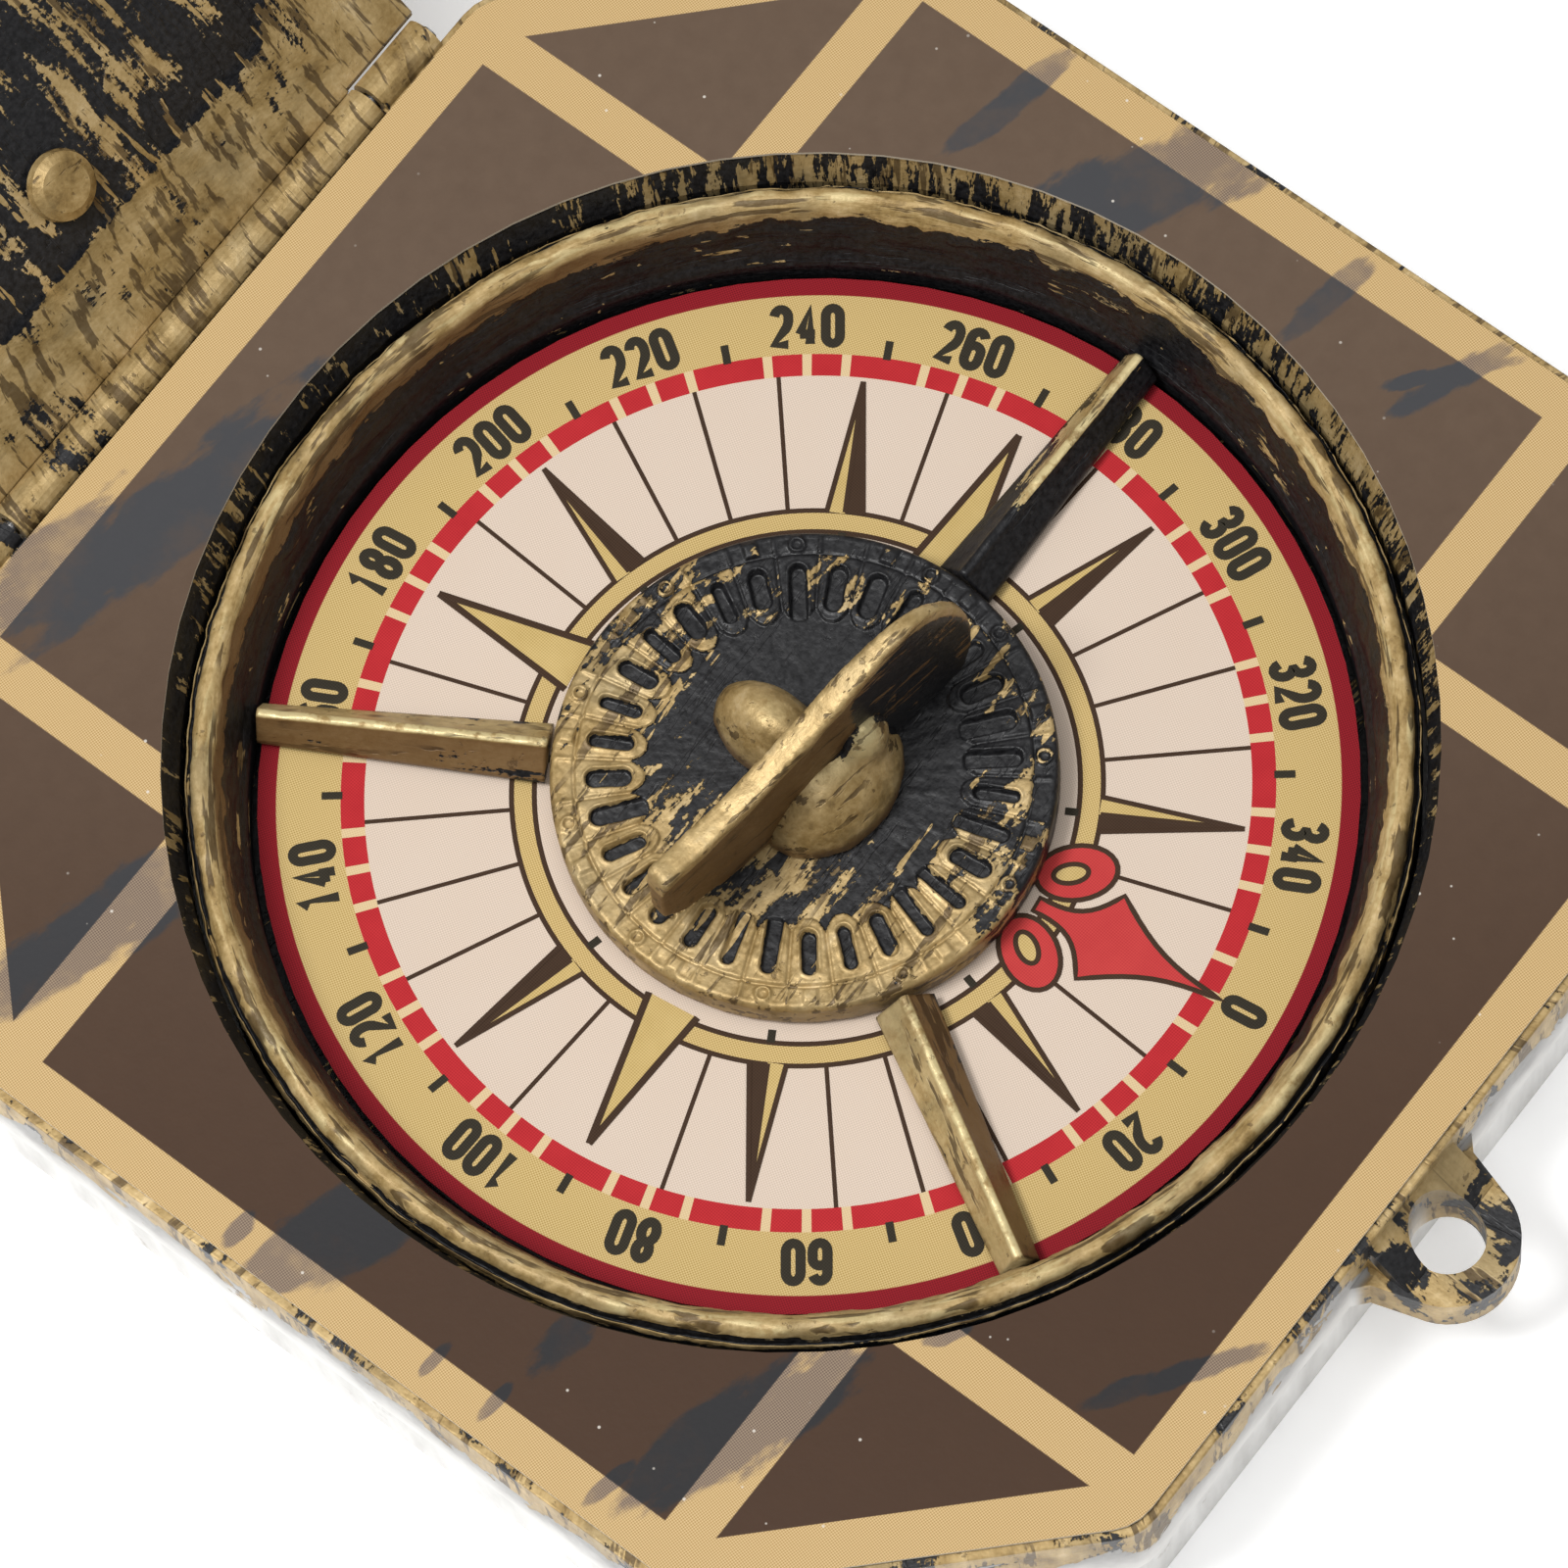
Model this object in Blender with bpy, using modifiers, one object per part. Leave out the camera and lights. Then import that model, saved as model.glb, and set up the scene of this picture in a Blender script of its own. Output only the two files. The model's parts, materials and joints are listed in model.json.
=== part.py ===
"""An octagonal pocket compass with a sundial over its card, and a hinged lid that stands open.

Metres, +Z up. The origin is the centre of the case's flat underside. The front, where the
lanyard lug is, faces -Y, and the lid's hinge runs along X at the rear. The lid is modelled
shut on the case and then swung open about its hinge.
"""

import math

import bmesh
import bpy
from mathutils import Matrix, Vector

OBJECT_NAME = "compass_sundial"

# Levels above the underside of the case.
CARD_Z = 0.0060
DECK_Z = 0.01305
SPLIT_Z = 0.0064
GAP = 0.0003
SHEET_GAP = 0.0001

# Case: an octagon that is a square with its corners cut off.
CASE_HALF = 0.0398
CASE_CORNER = 0.04465
CASE_ROUND = 0.0030
CASE_WALL = 0.0020
FLOOR_THICKNESS = 0.0018
SHEET_HALF = 0.03935
SHEET_CORNER = 0.0442
SHEET_THICKNESS = 0.0002

# Dial well.
WELL_TOP_R = 0.03307
WELL_LOW_R = 0.0324
RING_OUTER_R = 0.0321
RING_INNER_R = 0.0293
PAN_R = 0.0319
PAN_FLOOR_Z = FLOOR_THICKNESS + GAP
PAN_THICKNESS = 0.0010

# Compass card, which turns on a pin. Its zero points 7.76 degrees to the right of the front.
CARD_R = 0.0289
CARD_TURN = math.radians(7.76)
CARD_DISC_THICKNESS = 0.00065
CARD_FACE_THICKNESS = 0.00015
HUB_R = 0.0013
MAGNET_SIZE = (0.0024, 0.0140, 0.0012)
MAGNET_OFFSET = 0.0055

# Hour disc on its three arms.
DISC_R = 0.0133
DISC_TOP_Z = CARD_Z + 0.0026
DISC_THICKNESS = 0.0021
SLOT_COUNT = 32
ARM_ANGLES = {"right": 0.0, "rear": 120.0, "front": 240.0}
ARM_INNER_R = DISC_R + GAP
ARM_OUTER_R = RING_INNER_R - GAP
ARM_TAPER = 0.66

# Gnomon: a thin fin that crosses the disc a little in front of its centre.
FIN_THICKNESS = 0.0010
FIN_CENTRE = (0.0, -0.0016)
FIN_ANGLE = math.radians(-9.5)
FIN_FOOT_Z = DISC_TOP_Z + GAP

# Hinge and lid.
HINGE_Y = 0.0407
HINGE_Z = 0.01245
KNUCKLE_R = 0.0012
HINGE_PIN_R = 0.00045
HINGE_HALF_WIDTH = 0.0200
LID_KNUCKLE_HALF = 0.0150
LID_OPEN = math.radians(135.0)
LID_Z = DECK_Z + GAP
LID_DEPTH = 0.0080
LID_TOP_THICKNESS = 0.0022
LID_TONGUE_HALF = 0.0206
LID_NOTCH_DEPTH = 0.0040
CAVITY_RIM_HALF = 0.0382
CAVITY_FLOOR_HALF = 0.0374
STUD_PLACE = (0.0020, 0.0339)

# Lanyard lug.
LUG_CENTRE = (-0.0009, -0.0421)
LUG_R = 0.00375
LUG_HOLE_R = 0.0020
LUG_TOP_Z = 0.0095
LUG_THICKNESS = 0.0030

# Case screws, driven from below near the four cut corners.
SCREW_OFFSET = 0.0275
SCREW_HEAD_R = 0.0024
SCREW_SHANK_R = 0.0012

TURN_STEPS = 72
HALF_TURN = math.pi


def clear_scene():
    for obj in list(bpy.data.objects):
        bpy.data.objects.remove(obj, do_unlink=True)


def new_collection(name):
    collection = bpy.data.collections.new(name)
    bpy.context.scene.collection.children.link(collection)
    return collection


def new_material(name, colour, roughness, metallic):
    material = bpy.data.materials.new(name)
    material.use_nodes = True
    shader = material.node_tree.nodes["Principled BSDF"]
    shader.inputs["Base Color"].default_value = (*colour, 1.0)
    shader.inputs["Roughness"].default_value = roughness
    shader.inputs["Metallic"].default_value = metallic
    return material


def make_materials():
    return {
        "bronze": new_material("bronze_paint", (0.30, 0.19, 0.07), 0.45, 0.35),
        "black": new_material("black_paint", (0.015, 0.015, 0.017), 0.40, 0.1),
        "deck": new_material("printed_deck", (0.10, 0.06, 0.04), 0.55, 0.0),
        "card": new_material("printed_card", (0.72, 0.60, 0.50), 0.60, 0.0),
        "plate": new_material("card_plate", (0.60, 0.60, 0.60), 0.40, 0.9),
        "brass": new_material("brass", (0.60, 0.42, 0.16), 0.30, 1.0),
        "steel": new_material("steel", (0.55, 0.55, 0.56), 0.30, 1.0),
        "magnet": new_material("magnet", (0.10, 0.10, 0.11), 0.45, 0.8),
    }


def add_part(obj, material):
    """Puts a finished piece in the object's collection, with its material and smooth round faces."""
    for old in list(obj.users_collection):
        old.objects.unlink(obj)
    bpy.data.collections[OBJECT_NAME].objects.link(obj)
    obj.data.materials.clear()
    obj.data.materials.append(material)
    obj.data.shade_smooth()
    obj.data.set_sharp_from_angle(angle=math.radians(35.0))
    return obj


def add_helper(obj):
    """Keeps a cutter, or a shape that is joined to a piece, out of the model."""
    for old in list(obj.users_collection):
        old.objects.unlink(obj)
    bpy.data.collections["cutters"].objects.link(obj)
    obj.hide_render = True
    obj.display_type = "WIRE"
    return obj


def combine(target, others, operation):
    for other in others:
        add_helper(other)
        modifier = target.modifiers.new(operation.lower(), "BOOLEAN")
        modifier.operation = operation
        modifier.object = other
        modifier.solver = "EXACT"


def cut(target, *others):
    combine(target, others, "DIFFERENCE")


def join(target, *others):
    combine(target, others, "UNION")


def bevel(obj, width, segments=2):
    modifier = obj.modifiers.new("bevel", "BEVEL")
    modifier.width = width
    modifier.segments = segments
    modifier.limit_method = "ANGLE"
    modifier.angle_limit = math.radians(40.0)


def mesh_copy(obj):
    """The object's evaluated mesh, with the loose caps of a curve welded."""
    graph = bpy.context.evaluated_depsgraph_get()
    mesh = bpy.data.meshes.new_from_object(obj.evaluated_get(graph))
    shape = bmesh.new()
    shape.from_mesh(mesh)
    bmesh.ops.remove_doubles(shape, verts=shape.verts, dist=1e-6)
    bmesh.ops.recalc_face_normals(shape, faces=shape.faces)
    shape.to_mesh(mesh)
    shape.free()
    return mesh


def replace_with_mesh(obj):
    """Swaps a curve object for a mesh object of the same name and place."""
    mesh = mesh_copy(obj)
    name = obj.name
    place = obj.matrix_world.copy()
    bpy.data.objects.remove(obj, do_unlink=True)
    mesh.name = name
    solid = bpy.data.objects.new(name, mesh)
    solid.matrix_world = place
    bpy.context.scene.collection.objects.link(solid)
    return solid


def flat_solid(name, loops, thickness, location=(0, 0, 0), rotation=(0, 0, 0)):
    """A flat outline, with holes where it has more than one loop, of a given thickness about its middle."""
    curve = bpy.data.curves.new(name, "CURVE")
    curve.dimensions = "2D"
    curve.fill_mode = "BOTH"
    curve.extrude = thickness / 2
    for loop in loops:
        spline = curve.splines.new("POLY")
        spline.points.add(len(loop) - 1)
        for point, (x, y) in zip(spline.points, loop):
            point.co = (x, y, 0.0, 1.0)
        spline.use_cyclic_u = True
    obj = bpy.data.objects.new(name, curve)
    obj.location = location
    obj.rotation_euler = rotation
    bpy.context.scene.collection.objects.link(obj)
    bpy.context.view_layer.update()
    return replace_with_mesh(obj)


def slab(name, loops, bottom, top):
    """A flat outline between two levels."""
    return flat_solid(name, loops, top - bottom, (0, 0, (bottom + top) / 2))


def turned(name, profile, location=(0, 0, 0), steps=TURN_STEPS, closed=False):
    """A profile of (radius, height) points, from the top down the outer side, turned about Z."""
    mesh = bpy.data.meshes.new(name)
    edges = [(i, i + 1) for i in range(len(profile) - 1)]
    if closed:
        edges.append((len(profile) - 1, 0))
    mesh.from_pydata([(radius, 0.0, height) for radius, height in profile], edges, [])
    obj = bpy.data.objects.new(name, mesh)
    obj.location = location
    bpy.context.scene.collection.objects.link(obj)
    screw = obj.modifiers.new("turn", "SCREW")
    screw.steps = steps
    screw.render_steps = steps
    screw.use_merge_vertices = True
    screw.merge_threshold = 1e-6
    return obj


def rod(name, radius, bottom, top, place=(0, 0), steps=32):
    profile = [(0, top), (radius, top), (radius, bottom), (0, bottom)]
    return turned(name, profile, (*place, 0), steps)


def box(name, size, centre, rotation=(0, 0, 0)):
    mesh = bpy.data.meshes.new(name)
    shape = bmesh.new()
    bmesh.ops.create_cube(shape, size=1.0)
    bmesh.ops.scale(shape, vec=size, verts=shape.verts)
    shape.to_mesh(mesh)
    shape.free()
    obj = bpy.data.objects.new(name, mesh)
    obj.location = centre
    obj.rotation_euler = rotation
    bpy.context.scene.collection.objects.link(obj)
    return obj


def cross_rod(name, radius, length, centre):
    """A cylinder along X."""
    mesh = bpy.data.meshes.new(name)
    shape = bmesh.new()
    bmesh.ops.create_cone(shape, cap_ends=True, segments=24, radius1=radius, radius2=radius, depth=length)
    shape.to_mesh(mesh)
    shape.free()
    obj = bpy.data.objects.new(name, mesh)
    obj.location = centre
    obj.rotation_euler = (0, math.pi / 2, 0)
    bpy.context.scene.collection.objects.link(obj)
    return obj


def ball(name, radii, centre):
    mesh = bpy.data.meshes.new(name)
    shape = bmesh.new()
    bmesh.ops.create_uvsphere(shape, u_segments=24, v_segments=14, radius=1.0)
    bmesh.ops.scale(shape, vec=radii, verts=shape.verts)
    shape.to_mesh(mesh)
    shape.free()
    obj = bpy.data.objects.new(name, mesh)
    obj.location = centre
    bpy.context.scene.collection.objects.link(obj)
    return obj


def circle(radius, centre=(0, 0), steps=TURN_STEPS, start=0.0, sweep=2 * HALF_TURN):
    """Points of a full circle, or of an arc when the sweep is shorter."""
    count = steps if sweep >= 2 * HALF_TURN else steps + 1
    angles = [start + sweep * i / steps for i in range(count)]
    return [(centre[0] + radius * math.cos(a), centre[1] + radius * math.sin(a)) for a in angles]


def octagon(half, corner):
    """Corners of an octagon, anticlockwise: half is to the long sides, corner to the cut corners."""
    side = corner * math.sqrt(2) - half
    return [
        (half, side), (side, half), (-side, half), (-half, side),
        (-half, -side), (-side, -half), (side, -half), (half, -side),
    ]


def rounded(points, radius, steps=3):
    """The same polygon with each corner replaced by an arc of the given radius."""
    result = []
    for i, point in enumerate(points):
        corner = Vector(point)
        before = (Vector(points[i - 1]) - corner).normalized()
        after = (Vector(points[(i + 1) % len(points)]) - corner).normalized()
        half_angle = before.angle(after) / 2
        start = corner + before * radius / math.tan(half_angle)
        end = corner + after * radius / math.tan(half_angle)
        centre = corner + (before + after).normalized() * radius / math.sin(half_angle)
        first = math.atan2(start.y - centre.y, start.x - centre.x)
        last = math.atan2(end.y - centre.y, end.x - centre.x)
        sweep = (last - first + HALF_TURN) % (2 * HALF_TURN) - HALF_TURN
        result += circle(radius, centre, steps, first, sweep)
    return result


def case_outline(half, corner, radius=CASE_ROUND):
    return rounded(octagon(half, corner), radius)


def screw_places():
    return [(sx * SCREW_OFFSET, sy * SCREW_OFFSET) for sx in (-1, 1) for sy in (-1, 1)]


def make_lower_case(materials):
    """The tray that closes the case from below, with a counterbored tower for each screw."""
    tray = slab("lower_case", [case_outline(CASE_HALF - 0.0004, CASE_CORNER - 0.0004)], 0.0, SPLIT_Z - GAP)
    bevel(tray, 0.0005)
    inner = case_outline(CASE_HALF - 0.0004 - CASE_WALL, CASE_CORNER - 0.0004 - CASE_WALL, 0.0015)
    cut(tray, slab("tray_pocket", [inner], FLOOR_THICKNESS, SPLIT_Z + 0.001))
    for place in screw_places():
        join(tray, rod("screw_tower", 0.0040, 0.0010, SPLIT_Z - 2 * GAP, place))
    for place in screw_places():
        profile = [
            (0, SPLIT_Z + 0.001), (SCREW_SHANK_R + GAP, SPLIT_Z + 0.001), (SCREW_SHANK_R + GAP, 0.0030),
            (SCREW_HEAD_R + 0.0004, 0.0030), (SCREW_HEAD_R + 0.0004, -0.001), (0, -0.001),
        ]
        cut(tray, turned("screw_bore", profile, (*place, 0), 32))
    return add_part(tray, materials["black"])


def lug_outline():
    """A ring end with a neck that flares out to the case's front wall."""
    x, y = LUG_CENTRE
    root_y = -CASE_HALF + 0.001
    arc = circle(LUG_R, LUG_CENTRE, 20, math.radians(192), math.radians(156))
    left = [(x - 0.0058, root_y), (x - 0.0052, -CASE_HALF), (x - 0.0044, -CASE_HALF - 0.0007)]
    right = [(x + 0.0044, -CASE_HALF - 0.0007), (x + 0.0052, -CASE_HALF), (x + 0.0058, root_y)]
    return left + arc + right


def make_lug_shoulder():
    """The wedge that rises from the lug's ring to the case's top edge on both sides of the hole."""
    wall_y = -CASE_HALF + 0.0005
    section = [
        (wall_y, DECK_Z - 0.0012), (-CASE_HALF, DECK_Z - 0.0012), (LUG_CENTRE[1] - 0.0002, LUG_TOP_Z + 0.0001),
        (LUG_CENTRE[1] - 0.0002, LUG_TOP_Z - 0.001), (wall_y, LUG_TOP_Z - 0.001),
    ]
    rotation = (math.pi / 2, 0, math.pi / 2)
    return flat_solid("lug_shoulder", [section], 0.0072, (LUG_CENTRE[0], 0, 0), rotation)


def make_case_knuckles():
    """The case's two outer hinge knuckles, each with a web to the rear wall."""
    length = HINGE_HALF_WIDTH - LID_KNUCKLE_HALF - GAP
    centre_x = HINGE_HALF_WIDTH - length / 2
    pieces = []
    for side in (-1, 1):
        centre = (side * centre_x, HINGE_Y, HINGE_Z)
        web = (side * centre_x, (HINGE_Y + CASE_HALF - 0.001) / 2, HINGE_Z - 0.0010)
        pieces.append(cross_rod("case_knuckle", KNUCKLE_R, length, centre))
        pieces.append(box("case_web", (length - 0.0001, HINGE_Y - CASE_HALF + 0.0010, 0.0018), web))
    return pieces


def make_upper_case(materials):
    """The case's top frame: side walls, deck with the well's opening, lug and hinge knuckles."""
    deck_z = DECK_Z - SHEET_THICKNESS - SHEET_GAP
    frame = slab("upper_case", [case_outline(CASE_HALF, CASE_CORNER)], SPLIT_Z, deck_z)
    bevel(frame, 0.0003)
    lug = slab("lug_plate", [lug_outline()], LUG_TOP_Z - LUG_THICKNESS, LUG_TOP_Z)
    bevel(lug, 0.0006)
    join(frame, lug, make_lug_shoulder(), *make_case_knuckles())
    inner = case_outline(CASE_HALF - CASE_WALL, CASE_CORNER - CASE_WALL, 0.0015)
    cut(frame, slab("frame_pocket", [inner], SPLIT_Z - 0.001, deck_z - 0.0016))
    join(frame, rod("well_collar", WELL_TOP_R + 0.0017, 0.0085, deck_z - 0.0008, steps=TURN_STEPS))
    for place in screw_places():
        join(frame, rod("screw_post", 0.0032, SPLIT_Z + 0.0001, deck_z - 0.0008, place))
    well = [
        (0, DECK_Z + 0.001), (WELL_TOP_R, DECK_Z + 0.001), (WELL_TOP_R, deck_z - 0.0001),
        (WELL_LOW_R, CARD_Z + 0.0048), (WELL_LOW_R, 0.0075), (0, 0.0075),
    ]
    cut(frame, turned("well_opening", well))
    for place in screw_places():
        cut(frame, rod("pilot_hole", SCREW_SHANK_R + GAP, SPLIT_Z - 0.001, 0.0107, place))
    cut(frame, rod("lug_hole", LUG_HOLE_R, SPLIT_Z - 0.001, DECK_Z + 0.001, LUG_CENTRE, 40))
    groove = 2 * LID_KNUCKLE_HALF + GAP
    cut(frame, cross_rod("knuckle_groove", KNUCKLE_R + GAP, groove, (0, HINGE_Y, HINGE_Z)))
    cut(frame, cross_rod("pin_hole", HINGE_PIN_R + 0.0002, 0.06, (0, HINGE_Y, HINGE_Z)))
    return add_part(frame, materials["bronze"])


def make_deck_sheet(materials):
    """The printed sheet on the deck, which stops at the well's edge."""
    loops = [case_outline(SHEET_HALF, SHEET_CORNER), circle(WELL_TOP_R)]
    return add_part(slab("deck_sheet", loops, DECK_Z - SHEET_THICKNESS, DECK_Z), materials["deck"])


def make_bezel_ring(materials):
    """The stepped ring round the card: a bead inside a groove and a thin outer ridge."""
    profile = [
        (0.03130, 0.00580), (0.03155, 0.00568), (0.03172, 0.00535), (0.03178, 0.00500),
        (0.03184, 0.00462), (0.03195, 0.00462), (0.03199, 0.00482), (0.03207, 0.00480),
        (RING_OUTER_R, -0.00100), (RING_INNER_R, -0.00100), (RING_INNER_R, 0.00090),
        (0.02970, 0.00160), (0.03040, 0.00500), (0.03062, 0.00555), (0.03095, 0.00578),
    ]
    ring = turned("bezel_ring", profile, (0, 0, CARD_Z), closed=True)
    return add_part(ring, materials["bronze"])


def make_well_pan(materials):
    """The shallow cup below the card, which carries the pivot pin."""
    top = CARD_Z - 0.0013
    floor = PAN_FLOOR_Z + PAN_THICKNESS
    profile = [
        (PAN_R, top), (PAN_R, PAN_FLOOR_Z), (0.0009, PAN_FLOOR_Z), (0.0009, floor),
        (PAN_R - 0.0012, floor), (PAN_R - 0.0012, top),
    ]
    return add_part(turned("well_pan", profile, closed=True), materials["black"])


def make_pivot_pin(materials):
    """A brass foot with a pointed shank, on which the card's hub swings."""
    floor = PAN_FLOOR_Z + PAN_THICKNESS
    profile = [
        (0, 0.00535), (0.00006, 0.00530), (0.00035, 0.00470), (0.00035, floor + GAP + 0.0004),
        (0.0018, floor + GAP + 0.0004), (0.0018, floor + GAP), (0.0006, floor + GAP),
        (0.0006, PAN_FLOOR_Z + GAP), (0, PAN_FLOOR_Z + GAP),
    ]
    return add_part(turned("pivot_pin", profile, steps=24), materials["steel"])


def make_card(materials):
    """The turning card: printed face, disc, hub and two magnets, all about the pivot's axis."""
    face_bottom = CARD_Z - CARD_FACE_THICKNESS
    disc_top = face_bottom - SHEET_GAP
    disc_bottom = disc_top - CARD_DISC_THICKNESS
    hole = HUB_R + GAP
    face = slab("card_face", [circle(CARD_R), circle(hole, steps=32)], face_bottom, CARD_Z)
    add_part(face, materials["card"])
    disc = [
        (CARD_R - 0.00005, disc_top), (CARD_R - 0.00005, disc_bottom), (hole, disc_bottom), (hole, disc_top),
    ]
    add_part(turned("card_disc", disc, closed=True), materials["plate"])
    hub = [
        (0, CARD_Z + 0.00015), (HUB_R, CARD_Z + 0.00015), (HUB_R, disc_bottom - GAP),
        (0.0024, disc_bottom - GAP), (0.0024, disc_bottom - 0.0008), (HUB_R, disc_bottom - 0.0008),
        (HUB_R, 0.0040), (0.0008, 0.0040), (0.0008, 0.0052), (0.0002, 0.0057), (0, 0.0057),
    ]
    add_part(turned("card_hub", hub, steps=32), materials["brass"])
    magnet_z = disc_bottom - GAP - MAGNET_SIZE[2] / 2
    across = Vector((math.cos(CARD_TURN), math.sin(CARD_TURN)))
    for name, side in (("magnet_bar_left", -1), ("magnet_bar_right", 1)):
        centre = across * side * MAGNET_OFFSET
        bar = box(name, MAGNET_SIZE, (centre.x, centre.y, magnet_z), (0, 0, CARD_TURN))
        bevel(bar, 0.0001, 1)
        add_part(bar, materials["magnet"])


def slot_cutter():
    """The ring of short radial slots in the disc's face, as one cutter."""
    shape = bmesh.new()
    for i in range(SLOT_COUNT):
        angle = 2 * HALF_TURN * i / SLOT_COUNT
        made = bmesh.ops.create_cube(shape, size=1.0)["verts"]
        bmesh.ops.scale(shape, vec=(0.0024, 0.0009, 0.0010), verts=made)
        bmesh.ops.translate(shape, vec=(0.0102, 0, 0), verts=made)
        bmesh.ops.rotate(shape, cent=(0, 0, 0), matrix=Matrix.Rotation(angle, 3, "Z"), verts=made)
    mesh = bpy.data.meshes.new("slots")
    shape.to_mesh(mesh)
    shape.free()
    obj = bpy.data.objects.new("slots", mesh)
    obj.location = (0, 0, DISC_TOP_Z)
    bpy.context.scene.collection.objects.link(obj)
    return obj


def make_hour_disc(materials):
    """The fixed disc under the gnomon, with a slotted border and a slightly sunk middle."""
    profile = [
        (0, -0.00015), (0.0084, -0.00015), (0.0086, 0), (DISC_R - 0.0003, 0), (DISC_R, -0.0003),
        (DISC_R, -DISC_THICKNESS + 0.0002), (DISC_R - 0.0002, -DISC_THICKNESS), (0, -DISC_THICKNESS),
    ]
    disc = turned("hour_disc", profile, (0, 0, DISC_TOP_Z))
    cut(disc, slot_cutter())
    return add_part(disc, materials["bronze"])


def make_arms(materials):
    """Three ridged arms from the disc's edge to the bezel ring, narrower at their outer ends."""
    section = [
        (-0.00165, 0.0), (0.00165, 0.0), (0.00150, 0.0009), (0.00035, 0.0019),
        (-0.00035, 0.0019), (-0.00150, 0.0009),
    ]
    length = ARM_OUTER_R - ARM_INNER_R
    middle = (ARM_OUTER_R + ARM_INNER_R) / 2
    for name, degrees in ARM_ANGLES.items():
        angle = math.radians(degrees)
        place = (middle * math.cos(angle), middle * math.sin(angle), CARD_Z + 0.0005)
        rotation = (math.pi / 2, 0, angle + math.pi / 2)
        arm = flat_solid("arm_" + name, [section], length, place, rotation)
        for vertex in arm.data.vertices:
            if vertex.co.z > 0:
                vertex.co.x *= ARM_TAPER
        bevel(arm, 0.0002)
        add_part(arm, materials["bronze"])


def fin_outline():
    """The fin's side view: distance along it from FIN_CENTRE, and height above its foot."""
    base = FIN_FOOT_Z - CARD_Z
    return [(along, height - base) for along, height in (
        (-0.0116, base), (0.0090, base), (0.0098, 0.0045), (0.0102, 0.0065), (0.0102, 0.0088),
        (0.0097, 0.0109), (0.0088, 0.0126), (0.0075, 0.0139), (0.0062, 0.0144), (0.0046, 0.0143),
        (0.0022, 0.0135), (-0.0010, 0.0121), (-0.0050, 0.0108), (-0.0089, 0.0102), (-0.0110, 0.0102),
        (-0.0116, 0.0099),
    )]


def make_gnomon_fin(materials):
    rotation = (math.pi / 2, 0, FIN_ANGLE)
    fin = flat_solid("gnomon_fin", [fin_outline()], FIN_THICKNESS, (*FIN_CENTRE, FIN_FOOT_Z), rotation)
    bevel(fin, 0.00025)
    return add_part(fin, materials["bronze"])


def make_gnomon_bosses(materials):
    """The two rounded lumps that hold the fin, one on each side of it."""
    front = ball("gnomon_boss_front", (0.0046, 0.0037, 0.0040), (0.0001, -0.0015, 0.0088))
    join(front, ball("boss_knob", (0.0016, 0.0015, 0.0019), (0.0022, -0.0023, 0.0123)))
    rear = ball("gnomon_boss_rear", (0.0022, 0.0037, 0.0038), (0.0004, 0.0022, 0.0088))
    normal = Vector((-math.sin(FIN_ANGLE), math.cos(FIN_ANGLE)))
    for boss, side in ((front, -1), (rear, 1)):
        reach = 0.02 - FIN_THICKNESS / 2 - GAP
        middle = Vector(FIN_CENTRE) - normal * side * reach
        cut(boss, box("boss_side", (0.06, 0.04, 0.04), (middle.x, middle.y, 0.01), (0, 0, FIN_ANGLE)))
        cut(boss, box("boss_foot", (0.03, 0.03, 0.01), (0, 0, FIN_FOOT_Z - 0.005)))
        add_part(boss, materials["bronze"])


def lid_cavity():
    """A regular octagon that narrows towards the lid's inner floor."""
    mesh = bpy.data.meshes.new("lid_cavity")
    shape = bmesh.new()
    to_corner = 1 / math.cos(math.pi / 8)
    slope = (CAVITY_RIM_HALF - CAVITY_FLOOR_HALF) / LID_DEPTH
    bmesh.ops.create_cone(
        shape, cap_ends=True, segments=8, depth=LID_DEPTH + 0.001,
        radius1=(CAVITY_RIM_HALF + slope * 0.001) * to_corner, radius2=CAVITY_FLOOR_HALF * to_corner,
    )
    shape.to_mesh(mesh)
    shape.free()
    obj = bpy.data.objects.new("lid_cavity", mesh)
    obj.location = (0, 0, LID_Z + (LID_DEPTH - 0.001) / 2)
    obj.rotation_euler = (0, 0, math.pi / 8)
    bpy.context.scene.collection.objects.link(obj)
    return obj


def make_lid_webs():
    """An angled web that ties the lid's knuckle to its rear wall and stays clear of the case."""
    width = 2 * LID_KNUCKLE_HALF - 0.0002
    front = CASE_HALF - 0.0008
    inner = CASE_HALF + GAP
    back = HINGE_Y + 0.0004
    low = LID_Z + 0.0001
    high = LID_Z + 0.0012
    middle = HINGE_Z + 0.0016
    ledge = box("lid_ledge", (width, back - front, high - low), (0, (back + front) / 2, (high + low) / 2))
    web_size = (width - 0.0002, back - inner - 0.0001, middle - HINGE_Z)
    web = box("lid_web", web_size, (0, (back + inner) / 2, (middle + HINGE_Z) / 2))
    return ledge, web


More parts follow.
